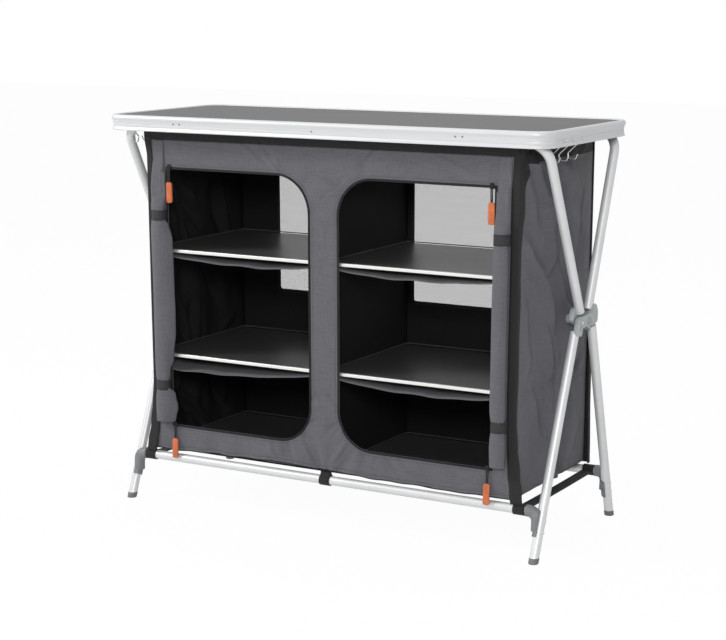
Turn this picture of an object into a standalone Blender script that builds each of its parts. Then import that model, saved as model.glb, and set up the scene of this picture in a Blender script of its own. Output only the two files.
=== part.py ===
"""Folding camping cupboard: a table top on two crossed tube frames, with a cloth
cabinet of two compartments hung from the top bars of the frames.

Metres, +Z up, +X to the right of someone who faces the doors, +Y to the back.
The origin is on the floor, under the middle of the whole cupboard.
"""
import math

import bmesh
import bpy
from mathutils import Matrix, Vector

for old_object in list(bpy.data.objects):
    bpy.data.objects.remove(old_object, do_unlink=True)

# Table
TABLE_WIDTH = 1.018
TABLE_DEPTH = 0.410
TABLE_HEIGHT = 0.834
TABLE_CORNER = 0.045
RIM_HEIGHT = 0.032
RIM_LEDGE = 0.022
RIM_LEDGE_THICK = 0.0018
RIM_WALL = 0.003
RIM_WALL_INSET = 0.0042
RIM_ROLL = 0.004
BOARD_LIP = 0.012
BOARD_THICK = 0.006
BOARD_RECESS = 0.002
BAR_ROOM = 0.0034

# Folding frame
TUBE_RADIUS = 0.0095
TUBE_WALL = 0.0012
TUBE_BEND = 0.045
LEG_INSET = 0.0236
HUB_HEIGHT = 0.4485
FRONT_BAR_INSET = 0.0464
REAR_BAR_INSET = 0.0191
FRONT_FOOT_RUN = 0.2155
REAR_FOOT_RUN = 0.1725
FRONT_OVERHANG = 0.241
BASE_BAR_HEIGHT = 0.098
BASE_BAR_STEP = 0.014
BASE_BAR_REACH = 0.040
HUB_UPPER_OUT = 0.028
HUB_UPPER_UP = 0.036
HUB_LOWER_OUT = 0.0465
HUB_LOWER_DOWN = 0.031

# Hub plates, elbows and feet
SOCKET_WALL = 0.0027
SOCKET_LENGTH = 0.022
LOW_SOCKET_LENGTH = 0.009
SOCKET_END = 0.003
WEB_WIDTH = 0.020
WEB_BOSS = 0.015
WEB_STEP = 0.0006
PIN_RADIUS = 0.004
PIN_HEAD_RADIUS = 0.008
PIN_HEAD = 0.0025
PIN_SPACER_RADIUS = 0.009
PIN_REACH = 0.034
COLLAR_LOW = 0.048
COLLAR_LENGTH = 0.036
ELBOW_RADIUS = 0.0123
ELBOW_CLEAR = 0.0278
ELBOW_BEND = 0.018
FOOT_HEIGHT = 0.014
FOOT_FLOOR = 0.005
FOOT_WALL = 0.0013

# Cloth cabinet
CLOTH = 0.0010
CABINET_INSET = 0.0554
HEM_HEIGHT = 0.117
HEM_RISE = 0.006
DOOR_EDGE = 0.050
DOOR_INNER_X = 0.036
DOOR_DROP = 0.0898
DOOR_BOTTOM = 0.174
DOOR_CORNER = 0.075
WINDOW_EDGE = 0.102
WINDOW_INNER_X = 0.017
WINDOW_DROP = 0.0768
WINDOW_BOTTOM = 0.4235
WINDOW_CORNER = 0.006
NET = 0.0008
NET_SEAM = 0.006
SIDE_BULGE = 0.009
SIDE_FOLDS = 3.0
ROLL_HALF_WIDTH = 0.0185
ROLL_HALF_DEPTH = 0.0125
ROLL_OFFSET = 0.0205
ROLL_CLOTH = 0.0014
ROLL_TURNS = 2.5
ROLL_CORE = 0.20
ROLL_MARGIN = 0.006
ROLL_TIE_DROP = 0.096
ROLL_TIE_RISE = 0.087
ROLL_WAIST = 0.84

# Shelves
SHELF_TOPS = (0.553, 0.328)
SHELF_THICK = 0.006
SHELF_SIDE_GAP = 0.004
SHELF_FRONT_GAP = 0.004
SHELF_BACK_GAP = 0.012
SLING_SAG = 0.017
SLING_STRIP = 0.014

# Small parts
CLIP_INSET = 0.114
CLIP_WIDTH = 0.040
CLIP_WALL = 0.006
CLIP_JAW_ANGLE = 32
HOOK_WIRE = 0.00125
HOOK_HOLE = 0.0022
HOOK_HOLE_RISE = 0.0105
HOOK_PEG = 0.0040
HOOK_IN = 0.0060
HOOK_REACH = 0.0265
HOOK_MOUTH = 0.0160
HOOK_TIP = 0.0195
HOOK_DEPTH = 0.0400
HOOK_PLACES = (0.0030, 0.0410, 0.0840)
PULL_OFFSET = 0.0055
PULL_WIDTH = 0.0135
PULL_LENGTH = 0.043
PULL_DEPTH = 0.0045
PULL_CORD = 0.0013
PULL_CORD_LENGTH = 0.030
PULL_EYE_RADIUS = 0.0021
PULL_EYE_LENGTH = 0.006
STRAP_WIDTH = 0.025
STRAP_THICK = 0.0018
STRAP_OUT = 0.0135
CENTRE_STRAP_WIDTH = 0.024

# Clearance between pieces that touch
GAP = 0.0003

# Sides of the round shapes
ROUND = 16

# Worked out from the dimensions above
foot_radius = TUBE_RADIUS + GAP + FOOT_WALL
rear_tilt = math.atan2(REAR_FOOT_RUN - HUB_LOWER_OUT, HUB_HEIGHT - HUB_LOWER_DOWN)
rear_reach = REAR_FOOT_RUN + foot_radius / math.cos(rear_tilt)
hub_y = (FRONT_OVERHANG - rear_reach) / 2
rim_bottom = TABLE_HEIGHT - RIM_HEIGHT
table_front = hub_y - FRONT_OVERHANG
table_back = table_front + TABLE_DEPTH
table_y = (table_front + table_back) / 2
board_top = TABLE_HEIGHT - BOARD_RECESS
board_bottom = board_top - BOARD_THICK
sleeve_inner = TUBE_RADIUS + GAP
sleeve_outer = sleeve_inner + CLOTH
wall_inner = RIM_WALL_INSET + RIM_WALL
ledge_top = board_bottom - GAP
top_bar_z = board_bottom - BAR_ROOM - sleeve_outer
front_bar_y = table_front + FRONT_BAR_INSET
rear_bar_y = table_back - REAR_BAR_INSET
front_face = front_bar_y - CLOTH / 2
rear_face = rear_bar_y + sleeve_outer
socket_bore = TUBE_RADIUS + GAP
socket_radius = socket_bore + SOCKET_WALL
inside_front = front_face + CLOTH + GAP
inside_back = rear_face - CLOTH - GAP
leg_x = TABLE_WIDTH / 2 - LEG_INSET
cabinet_half = leg_x - CABINET_INSET
inside_half = cabinet_half - CLOTH - GAP
base_bar_half = cabinet_half + BASE_BAR_REACH
elbow_mouth_x = cabinet_half + ELBOW_CLEAR
pin_inner_x = leg_x - PIN_REACH
door_outer_x = cabinet_half - DOOR_EDGE
door_top = top_bar_z - DOOR_DROP
window_outer_x = cabinet_half - WINDOW_EDGE
window_top = top_bar_z - WINDOW_DROP
roll_x = door_outer_x + ROLL_OFFSET
tie_high = door_top - ROLL_TIE_DROP
tie_low = DOOR_BOTTOM + ROLL_TIE_RISE
pull_x = door_outer_x - PULL_OFFSET
strap_x = cabinet_half + STRAP_OUT
clip_x = cabinet_half - CLIP_INSET
floor_board_top = HEM_HEIGHT + CLOTH + GAP + SHELF_THICK

part_group = bpy.data.collections.new("folding_camping_cupboard")
bpy.context.scene.collection.children.link(part_group)
cutter_group = bpy.data.collections.new("cutters")
bpy.context.scene.collection.children.link(cutter_group)


def make_material(name, colour, roughness, metallic=0.0):
    """A plain Principled material."""
    material = bpy.data.materials.new(name)
    material.use_nodes = True
    shader = material.node_tree.nodes["Principled BSDF"]
    shader.inputs["Base Color"].default_value = (*colour, 1.0)
    shader.inputs["Roughness"].default_value = roughness
    shader.inputs["Metallic"].default_value = metallic
    return material


TUBE_PAINT = make_material("tube_paint", (0.62, 0.63, 0.63), 0.32, 0.55)
RIM_METAL = make_material("rim_metal", (0.70, 0.71, 0.72), 0.38, 0.6)
TABLE_GREY = make_material("table_grey", (0.22, 0.22, 0.22), 0.45)
SHELF_DARK = make_material("shelf_dark", (0.035, 0.035, 0.036), 0.4)
CLOTH_GREY = make_material("cloth_grey", (0.122, 0.120, 0.132), 0.85)
CLOTH_BLACK = make_material("cloth_black", (0.010, 0.010, 0.011), 0.85)
WEBBING = make_material("webbing", (0.017, 0.017, 0.018), 0.8)
NET_PALE = make_material("net_pale", (0.50, 0.50, 0.49), 0.8)
PLASTIC_GREY = make_material("plastic_grey", (0.25, 0.27, 0.27), 0.5)
PLASTIC_DARK = make_material("plastic_dark", (0.045, 0.045, 0.047), 0.55)
WIRE = make_material("wire", (0.65, 0.65, 0.65), 0.25, 1.0)
ORANGE = make_material("orange", (0.64, 0.18, 0.065), 0.55)


def make_pivot(name, place):
    """An empty on a joint's axis, which carries the pieces that move with it."""
    pivot = bpy.data.objects.new(name, None)
    pivot.location = place
    pivot.empty_display_size = 0.03
    part_group.objects.link(pivot)
    bpy.context.view_layer.update()
    return pivot


def add_part(name, mesh, material, pivot=None, place=None):
    """Link a mesh as a named piece, at place, and hang it on its pivot."""
    piece = bpy.data.objects.new(name, mesh)
    mesh.materials.clear()
    mesh.materials.append(material)
    part_group.objects.link(piece)
    if place is not None:
        piece.matrix_world = place
    if pivot is not None:
        piece.parent = pivot
        piece.matrix_parent_inverse = pivot.matrix_world.inverted()
    bpy.context.view_layer.update()
    return piece


def add_cutter(name, mesh, place=None):
    """Link a mesh as a hidden tool for a Boolean."""
    cutter = bpy.data.objects.new(name, mesh)
    cutter_group.objects.link(cutter)
    cutter.hide_render = True
    cutter.display_type = "WIRE"
    if place is not None:
        cutter.matrix_world = place
    bpy.context.view_layer.update()
    return cutter


def boolean(piece, tool, operation):
    """Add an exact Boolean modifier."""
    modifier = piece.modifiers.new(operation.lower(), "BOOLEAN")
    modifier.object = tool
    modifier.operation = operation
    modifier.solver = "EXACT"
    return modifier


def smooth(mesh, angle=35):
    """Shade a round piece smooth, with its edges kept sharp."""
    mesh.shade_smooth()
    mesh.set_sharp_from_angle(angle=math.radians(angle))


def along(start, end):
    """A matrix at the middle of start and end, with Z from one to the other."""
    start = Vector(start)
    end = Vector(end)
    turn = (end - start).to_track_quat("Z", "X").to_matrix().to_4x4()
    return Matrix.Translation((start + end) / 2) @ turn


def cylinder_mesh(name, length, radius, sides=ROUND, caps=True):
    """A cylinder along Z, centred."""
    shape = bmesh.new()
    bmesh.ops.create_cone(shape, cap_ends=caps, segments=sides, radius1=radius,
                          radius2=radius, depth=length)
    mesh = bpy.data.meshes.new(name)
    shape.to_mesh(mesh)
    shape.free()
    smooth(mesh)
    return mesh


def rod(start, end, radius, sides=ROUND):
    """The mesh and place of a solid rod between two points."""
    length = (Vector(end) - Vector(start)).length
    return cylinder_mesh("rod", length, radius, sides), along(start, end)


def box_mesh(name, size, bevel=0.0):
    """A centred box, with its edges rounded by bevel."""
    shape = bmesh.new()
    bmesh.ops.create_cube(shape, size=1.0)
    bmesh.ops.scale(shape, vec=size, verts=shape.verts)
    if bevel > 0:
        bmesh.ops.bevel(shape, geom=shape.edges[:], offset=bevel, segments=2,
                        profile=0.5, affect="EDGES", material=-1)
    mesh = bpy.data.meshes.new(name)
    shape.to_mesh(mesh)
    shape.free()
    return mesh


def curve_to_mesh(curve_object):
    """Turn a curve object into a mesh, with its caps welded, and remove it."""
    graph = bpy.context.evaluated_depsgraph_get()
    mesh = bpy.data.meshes.new_from_object(curve_object.evaluated_get(graph))
    mesh.name = curve_object.name
    shape = bmesh.new()
    shape.from_mesh(mesh)
    bmesh.ops.remove_doubles(shape, verts=shape.verts, dist=0.00001)
    bmesh.ops.recalc_face_normals(shape, faces=shape.faces)
    shape.to_mesh(mesh)
    shape.free()
    bpy.data.objects.remove(curve_object, do_unlink=True)
    return mesh


def bend(corners, radius, steps=6):
    """A route through corners, each inner one rounded with an arc of radius."""
    corners = [Vector(corner) for corner in corners]
    route = [corners[0]]
    for before, corner, after in zip(corners, corners[1:], corners[2:]):
        back = (before - corner).normalized()
        ahead = (after - corner).normalized()
        half = back.angle(ahead) / 2
        reach = radius / math.tan(half)
        centre = corner + (back + ahead).normalized() * radius / math.sin(half)
        first = corner + back * reach - centre
        last = corner + ahead * reach - centre
        sweep = first.angle(last)
        for step in range(steps + 1):
            share = step / steps
            arm = first * math.sin(sweep * (1 - share)) + last * math.sin(sweep * share)
            route.append(centre + arm / math.sin(sweep))
    route.append(corners[-1])
    return route


def curve_tube(name, route, radius, resolution=6, caps=True):
    """The mesh of a bevelled curve along a route."""
    curve = bpy.data.curves.new(name, "CURVE")
    curve.dimensions = "3D"
    spline = curve.splines.new("POLY")
    spline.points.add(len(route) - 1)
    for point, place in zip(spline.points, route):
        point.co = (*place, 1.0)
    curve.bevel_depth = radius
    curve.bevel_resolution = resolution
    curve.use_fill_caps = caps
    curve_object = bpy.data.objects.new(name, curve)
    part_group.objects.link(curve_object)
    bpy.context.view_layer.update()
    mesh = curve_to_mesh(curve_object)
    smooth(mesh)
    return mesh


def flat_plate(name, loops, thickness):
    """The mesh of a flat outline with holes, in XY, thickness up and down Z."""
    curve = bpy.data.curves.new(name, "CURVE")
    curve.dimensions = "2D"
    curve.fill_mode = "BOTH"
    curve.extrude = thickness / 2
    for loop in loops:
        spline = curve.splines.new("POLY")
        spline.points.add(len(loop) - 1)
        for point, (x, y) in zip(spline.points, loop):
            point.co = (x, y, 0.0, 1.0)
        spline.use_cyclic_u = True
    curve_object = bpy.data.objects.new(name, curve)
    part_group.objects.link(curve_object)
    bpy.context.view_layer.update()
    return curve_to_mesh(curve_object)


def arc(centre, radius, start, end, steps):
    """Points on an arc, angles in degrees."""
    angles = [math.radians(start + (end - start) * i / steps) for i in range(steps + 1)]
    return [(centre[0] + radius * math.cos(a), centre[1] + radius * math.sin(a))
            for a in angles]


def rounded_box_outline(half_x, half_y, radius, steps=6):
    """A rectangle about the origin with four round corners."""
    inner_x = half_x - radius
    inner_y = half_y - radius
    return (arc((inner_x, inner_y), radius, 0, 90, steps)
            + arc((-inner_x, inner_y), radius, 90, 180, steps)
            + arc((-inner_x, -inner_y), radius, 180, 270, steps)
            + arc((inner_x, -inner_y), radius, 270, 360, steps))


def add_tube(name, start, end, pivot):
    """A straight hollow tube of the frame."""
    length = (Vector(end) - Vector(start)).length
    mesh = cylinder_mesh(name, length, TUBE_RADIUS, caps=False)
    tube = add_part(name, mesh, TUBE_PAINT, pivot, along(start, end))
    wall = tube.modifiers.new("wall", "SOLIDIFY")
    wall.thickness = TUBE_WALL
    wall.offset = -1
    return tube


def upright(y_to_x=False):
    """A matrix that stands an XY outline up: its Y becomes Z, and its X stays X,
    or becomes Y when y_to_x is set."""
    stand = Matrix.Rotation(math.pi / 2, 4, "X")
    return Matrix.Rotation(math.pi / 2, 4, "Z") @ stand if y_to_x else stand


# Where the tubes of one side run, in the YZ plane, seen from the hub axis
hub = Vector((0.0, hub_y, HUB_HEIGHT))
rise = top_bar_z - HUB_HEIGHT
FRAMES = {
    "rear": {
        "upper_end": Vector((0, HUB_UPPER_OUT, HUB_UPPER_UP)),
        "upper_bar": Vector((0, rear_bar_y - hub_y, rise)),
        "lower_end": Vector((0, -HUB_LOWER_OUT, -HUB_LOWER_DOWN)),
        "foot": Vector((0, -FRONT_FOOT_RUN, -HUB_HEIGHT)),
        "web_side": 1,
        "base_step": -BASE_BAR_STEP,
        "low_word": "front",
    },
    "front": {
        "upper_end": Vector((0, -HUB_UPPER_OUT, HUB_UPPER_UP)),
        "upper_bar": Vector((0, front_bar_y - hub_y, rise)),
        "lower_end": Vector((0, HUB_LOWER_OUT, -HUB_LOWER_DOWN)),
        "foot": Vector((0, REAR_FOOT_RUN, -HUB_HEIGHT)),
        "web_side": -1,
        "base_step": BASE_BAR_STEP,
        "low_word": "rear",
    },
}
SIDES = {"left": -1, "right": 1}


def side_point(side, offset):
    """A point of one side's tube plane, from its offset to the hub axis."""
    return hub + offset + Vector((side * leg_x, 0, 0))


def leg_point(frame, height):
    """The offset of a lower tube's axis at a height above the floor."""
    top = frame["lower_end"]
    foot = frame["foot"]
    share = (top.z - (height - HUB_HEIGHT)) / (top.z - foot.z)
    return top.lerp(foot, share)


def base_bar_offset(frame):
    """The offset of a bottom bar's axis to the hub axis."""
    return leg_point(frame, BASE_BAR_HEIGHT) + Vector((0, frame["base_step"], 0))


def add_upper_frame(high_word, frame, pivot):
    """The bent tube of one frame's upper half: two legs and a top bar."""
    corners = [
        side_point(-1, frame["upper_end"]),
        side_point(-1, frame["upper_bar"]),
        side_point(1, frame["upper_bar"]),
        side_point(1, frame["upper_end"]),
    ]
    mesh = curve_tube("upper", bend(corners, TUBE_BEND, 6), TUBE_RADIUS, 5, caps=False)
    upper = add_part(f"{high_word}_upper_tube_frame", mesh, TUBE_PAINT, pivot)
    wall = upper.modifiers.new("wall", "SOLIDIFY")
    wall.thickness = TUBE_WALL
    wall.offset = -1


def add_hub_plate(word, side, high_word, frame, pivot):
    """The moulded plate that joins an upper and a lower tube on the hub pin."""
    name = f"hub_plate_{high_word}_{word}"
    centre = side_point(side, Vector((0, 0, 0)))
    thick = socket_radius - SOCKET_WALL / 2 - GAP
    inner = frame["web_side"] * side * GAP
    outer = frame["web_side"] * side * (GAP + thick)
    middle = (inner + outer) / 2
    mesh, place = rod(centre + Vector((inner, 0, 0)), centre + Vector((outer, 0, 0)),
                      WEB_BOSS, 20)
    plate = add_part(name, mesh, PLASTIC_GREY, pivot, place)
    ends = ((frame["upper_end"], frame["upper_bar"]), (frame["lower_end"], frame["foot"]))
    for end, far in ends:
        length = end.length + SOCKET_LENGTH / 4
        web = box_mesh("web", (thick - 2 * WEB_STEP, WEB_WIDTH, length))
        web_place = (Matrix.Translation(centre + Vector((middle, 0, 0)))
                     @ Matrix.Rotation(math.atan2(-end.y, end.z), 4, "X")
                     @ Matrix.Translation((0, 0, length / 2)))
        boolean(plate, add_cutter(name + "_web", web, web_place), "UNION")
    for (end, far), length in zip(ends, (SOCKET_LENGTH, LOW_SOCKET_LENGTH)):
        run = (far - end).normalized()
        start = centre + end - run * SOCKET_END
        mouth = centre + end + run * length
        socket = add_cutter(name + "_socket", *rod(start, mouth, socket_radius))
        boolean(plate, socket, "UNION")
    open_side(plate, centre, *ends[0])
    for end, far in ends:
        run = (far - end).normalized()
        bore = rod(centre + end - run * GAP, centre + end + run * SOCKET_LENGTH * 2,
                   socket_bore)
        boolean(plate, add_cutter(name + "_bore", *bore), "DIFFERENCE")
    reach = Vector((socket_radius * 2, 0, 0))
    hole = rod(centre - reach, centre + reach, PIN_RADIUS + GAP, 12)
    boolean(plate, add_cutter(name + "_pin_hole", *hole), "DIFFERENCE")


def open_side(plate, centre, end, far):
    """Cut away the half of an upper socket that faces the other frame's tube."""
    run = (far - end).normalized()
    outward = math.copysign(1.0, end.y)
    width = socket_radius * 2
    box = box_mesh("open", (width * 1.5, width, SOCKET_LENGTH * 2))
    place = (Matrix.Translation(centre + end + run * (SOCKET_LENGTH + SOCKET_END))
             @ Matrix.Rotation(math.atan2(-run.y, run.z), 4, "X")
             @ Matrix.Translation((0, -outward * width / 2, 0)))
    boolean(plate, add_cutter(plate.name + "_open", box, place), "DIFFERENCE")


def add_elbow(word, side, frame, pivot):
    """The moulded elbow that holds a bottom bar on a leg: a sleeve on the bar's end
    that curves down into a tail along the leg's inner side."""
    name = f"elbow_{frame['low_word']}_{word}"
    low = side_point(side, leg_point(frame, COLLAR_LOW))
    run = (frame["lower_end"] - frame["foot"]).normalized()
    high = low + run * COLLAR_LENGTH
    mesh, place = rod(low, high, socket_radius)
    elbow = add_part(name, mesh, PLASTIC_GREY, pivot, place)
    bar = hub + base_bar_offset(frame)
    mouth = bar + Vector((side * elbow_mouth_x, 0, 0))
    turn = bar + Vector((side * (leg_x - TUBE_RADIUS / 2), 0, 0))
    root = low + run * COLLAR_LENGTH * 0.35
    root.x = turn.x
    route = bend([mouth, turn, root], ELBOW_BEND, 4)
    arm = add_cutter(name + "_arm", curve_tube("arm", route, ELBOW_RADIUS, 5))
    boolean(elbow, arm, "UNION")
    leg = rod(low - run * COLLAR_LENGTH, high + run * COLLAR_LENGTH, socket_bore)
    boolean(elbow, add_cutter(name + "_leg_bore", *leg), "DIFFERENCE")
    reach = COLLAR_LENGTH * 4
    outer = box_mesh("outer", (socket_radius * 2, reach, reach))
    outer_place = Matrix.Translation(low + Vector((side * socket_radius, 0, 0)))
    boolean(elbow, add_cutter(name + "_outer", outer, outer_place), "DIFFERENCE")
    end = bar + Vector((side * (base_bar_half + GAP), 0, 0))
    socket = rod(bar, end, socket_bore)
    boolean(elbow, add_cutter(name + "_bar_bore", *socket), "DIFFERENCE")


def add_foot(word, side, frame, pivot):
    """The rubber cap on a leg, cut flat where it stands on the floor."""
    name = f"foot_{frame['low_word']}_{word}"
    ground = side_point(side, frame["foot"])
    run = (frame["lower_end"] - frame["foot"]).normalized()
    top = ground + run * FOOT_HEIGHT
    shape = bmesh.new()
    low = ground - run * foot_radius
    bmesh.ops.create_cone(shape, cap_ends=True, segments=ROUND, radius1=foot_radius,
                          radius2=foot_radius, depth=(top - low).length,
                          matrix=along(low, top))
    cut = bmesh.ops.bisect_plane(shape, geom=shape.verts[:] + shape.edges[:] + shape.faces[:],
                                 dist=0.000001, plane_co=(0, 0, 0), plane_no=(0, 0, 1),
                                 clear_inner=True)
    rim = [item for item in cut["geom_cut"] if isinstance(item, bmesh.types.BMEdge)]
    bmesh.ops.edgeloop_fill(shape, edges=rim)
    bmesh.ops.recalc_face_normals(shape, faces=shape.faces)
    mesh = bpy.data.meshes.new(name)
    shape.to_mesh(mesh)
    shape.free()
    smooth(mesh)
    foot = add_part(name, mesh, PLASTIC_DARK, pivot)
    seat = ground + run * (leg_cut(run) - GAP)
    bore = rod(seat, top + run * FOOT_HEIGHT, socket_bore)
    boolean(foot, add_cutter(name + "_bore", *bore), "DIFFERENCE")


def leg_cut(run):
    """How far up its axis a leg tube ends, clear of the floor by FOOT_FLOOR."""
    tilt = math.acos(run.z)
    return (FOOT_FLOOR + TUBE_RADIUS * math.sin(tilt)) / run.z


def add_frame(high_word, frame, pivot):
    """All the pieces that turn together on the hub pins."""
    add_upper_frame(high_word, frame, pivot)
    low_word = frame["low_word"]
    run = (frame["lower_end"] - frame["foot"]).normalized()
    for word, side in SIDES.items():
        top = side_point(side, frame["lower_end"])
        bottom = side_point(side, frame["foot"]) + run * leg_cut(run)
        add_tube(f"{low_word}_lower_tube_{word}", bottom, top, pivot)
        add_hub_plate(word, side, high_word, frame, pivot)
        add_elbow(word, side, frame, pivot)
        add_foot(word, side, frame, pivot)
    bar = hub + base_bar_offset(frame)
    half = Vector((base_bar_half, 0, 0))
    add_tube(f"{low_word}_bottom_bar", bar - half, bar + half, pivot)


def add_pins():
    """The rivet pins that the two frames turn on, with an inner spacer."""
    for word, side in SIDES.items():
        inner_face = leg_x - socket_radius - GAP
        outer_face = leg_x + socket_radius + GAP
        start = hub + Vector((side * pin_inner_x, 0, 0))
        mesh, place = rod(start, hub + Vector((side * inner_face, 0, 0)),
                          PIN_SPACER_RADIUS)
        pin = add_part(f"hub_pin_{word}", mesh, PLASTIC_DARK, None, place)
        head_end = outer_face + PIN_HEAD
        shank = rod(start + Vector((side * PIN_HEAD, 0, 0)),
                    hub + Vector((side * (outer_face + PIN_HEAD / 2), 0, 0)),
                    PIN_RADIUS, 12)
        boolean(pin, add_cutter(pin.name + "_shank", *shank), "UNION")
        head = rod(hub + Vector((side * outer_face, 0, 0)),
                   hub + Vector((side * head_end, 0, 0)), PIN_HEAD_RADIUS)
        boolean(pin, add_cutter(pin.name + "_head", *head), "UNION")


def rim_profile():
    """The rim's section: (distance in from the outer face, height above the top)."""
    ledge = ledge_top - TABLE_HEIGHT
    under = ledge - RIM_LEDGE_THICK
    low = -RIM_HEIGHT
    inset = RIM_WALL_INSET
    return [
        (inset - 0.0012, low), (inset - 0.0032, low + 0.0010),
        (inset - 0.0032, low + 0.0030), (inset - 0.0012, low + 0.0060),
        (inset, low + 0.0135), (inset - 0.0006, low + 0.0195),
        (RIM_ROLL * 0.35, -RIM_ROLL * 2.6), (0.0, -RIM_ROLL * 1.75),
        (RIM_ROLL * 0.25, -RIM_ROLL * 0.75), (RIM_ROLL, -RIM_ROLL * 0.125),
        (RIM_ROLL * 1.75, 0.0), (BOARD_LIP, -BOARD_RECESS * 0.6),
        (BOARD_LIP, ledge), (RIM_LEDGE, ledge), (RIM_LEDGE, under),
        (wall_inner, under), (wall_inner, low + 0.0060), (wall_inner - 0.0012, low),
    ]


def add_rim(pivot):
    """The aluminium rim: its section swept round the table's outline."""
    shape = bmesh.new()
    rings = []
    for inset, height in rim_profile():
        outline = rounded_box_outline(TABLE_WIDTH / 2 - inset, TABLE_DEPTH / 2 - inset,
                                      TABLE_CORNER - inset, 6)
        rings.append([shape.verts.new((x, y, height)) for x, y in outline])
    for ring, above in zip(rings, rings[1:] + rings[:1]):
        ring_pairs = zip(ring, ring[1:] + ring[:1])
        above_pairs = zip(above, above[1:] + above[:1])
        for (first, second), (third, fourth) in zip(ring_pairs, above_pairs):
            shape.faces.new((first, second, fourth, third))
    bmesh.ops.recalc_face_normals(shape, faces=shape.faces)
    mesh = bpy.data.meshes.new("rim")
    shape.to_mesh(mesh)
    shape.free()
    smooth(mesh, 30)
    place = Matrix.Translation((0, table_y, TABLE_HEIGHT))
    rim = add_part("tabletop_rim", mesh, RIM_METAL, pivot, place)
    for word, side in SIDES.items():
        for number, back in enumerate(HOOK_PLACES, 1):
            middle = hook_hole(side, back)
            reach = Vector((0.008, 0, 0))
            hole = rod(middle - reach, middle + reach, HOOK_HOLE, 8)
            boolean(rim, add_cutter(f"hook_hole_{word}_{number}", *hole), "DIFFERENCE")


def leg_back_edge(height):
    """Where the rear side of a front upper leg is, at a height above the floor."""
    frame = FRAMES["front"]
    run = frame["upper_bar"] - frame["upper_end"]
    share = (height - HUB_HEIGHT - frame["upper_end"].z) / run.z
    middle = hub.y + frame["upper_end"].y + run.y * share
    return middle + TUBE_RADIUS * run.length / run.z


def hook_hole(side, back):
    """The middle of a hook's hole in the rim, back from the front leg beside it."""
    wall_middle = TABLE_WIDTH / 2 - RIM_WALL_INSET - RIM_WALL / 2
    height = rim_bottom + HOOK_HOLE_RISE
    return Vector((side * wall_middle, leg_back_edge(height - HOOK_DEPTH) + back, height))


def add_table(pivot):
    """The table board, its rim and the four clips that sit on the top bars."""
    half_x = TABLE_WIDTH / 2 - BOARD_LIP - GAP
    half_y = TABLE_DEPTH / 2 - BOARD_LIP - GAP
    outline = rounded_box_outline(half_x, half_y, TABLE_CORNER - BOARD_LIP, 6)
    place = Matrix.Translation((0, table_y, (board_top + board_bottom) / 2))
    add_part("tabletop_board", flat_plate("board", [outline], BOARD_THICK), TABLE_GREY,
             pivot, place)
    add_rim(pivot)
    front_limit = table_front + RIM_LEDGE + GAP
    rear_limit = table_back - RIM_LEDGE - GAP
    for word, side in SIDES.items():
        add_clip(f"clip_front_{word}", side, front_bar_y, front_limit, 1, pivot)
        add_clip(f"clip_rear_{word}", side, rear_bar_y, rear_limit, -1, pivot)


def add_clip(name, side, bar_y, ledge_y, inward, pivot):
    """A clip on the board's underside, with a round seat over a top bar.

    It stays inboard of the rim's ledge at ledge_y. Its inner jaw ends above the bar's
    axis, so that the bar leaves it as the frames close. inward is the way from the rim
    to the middle.
    """
    seat = sleeve_outer + GAP
    top = board_bottom - GAP
    jaw_cut = math.radians(CLIP_JAW_ANGLE)
    outer_jaw = bar_y - inward * (seat + CLIP_WALL)
    reach = inward * (bar_y - ledge_y)
    if reach < seat:
        start = math.acos(reach / seat)
        outline = [(ledge_y, top)]
    elif reach < seat + CLIP_WALL:
        start = 0.0
        outline = [(ledge_y, top), (ledge_y, top_bar_z)]
    else:
        start = 0.0
        outline = [(outer_jaw, top), (outer_jaw, top_bar_z)]
    steps = 8
    for step in range(steps + 1):
        angle = start + (math.pi - jaw_cut - start) * step / steps
        outline.append((bar_y - inward * seat * math.cos(angle),
                        top_bar_z + seat * math.sin(angle)))
    inner_jaw = bar_y + inward * (seat + CLIP_WALL * 1.5)
    outline += [(inner_jaw, top_bar_z + seat * math.sin(jaw_cut)), (inner_jaw, top)]
    mesh = flat_plate(name, [outline], CLIP_WIDTH)
    place = Matrix.Translation((side * clip_x, 0, 0)) @ upright(True)
    add_part(name, mesh, PLASTIC_DARK, pivot, place)


def add_hooks(pivots):
    """Wire hooks that hang in the rim's holes, bent inward and then out."""
    for word, side in SIDES.items():
        for number, back in enumerate(HOOK_PLACES, 1):
            hole = hook_hole(side, back)
            inside = side * -1
            corners = [
                hole + Vector((side * HOOK_PEG, 0, 0)),
                hole + Vector((inside * HOOK_IN, 0, 0)),
                hole + Vector((inside * (HOOK_IN + 0.001), 0, -HOOK_HOLE_RISE)),
                hole + Vector((inside * HOOK_REACH, 0, -HOOK_DEPTH * 0.72)),
                hole + Vector((inside * (HOOK_REACH - 0.002), 0, -HOOK_DEPTH)),
                hole + Vector((inside * (HOOK_REACH - HOOK_MOUTH), 0, -HOOK_DEPTH)),
                hole + Vector((inside * (HOOK_REACH - HOOK_TIP), 0, -HOOK_DEPTH * 0.8)),
            ]
            route = [corners[0]] + bend(corners[1:], 0.0038, 2)
            mesh = curve_tube("hook", route, HOOK_WIRE, 1)
            name = f"hook_{word}_{number}"
            add_part(name, mesh, WIRE, pivots[name])


def door_outline(side, grow=0.0):
    """A D shape: square at the outer edge, with round corners on the inner side."""
    outer = door_outer_x + grow
    inner = DOOR_INNER_X - grow
    low = DOOR_BOTTOM - grow
    high = door_top + grow
    radius = DOOR_CORNER
    points = [(outer, low), (outer, high)]
    points += arc((inner + radius, high - radius), radius, 90, 180, 8)
    points += arc((inner + radius, low + radius), radius, 180, 270, 8)
    return [(side * x, z) for x, z in points]


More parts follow.
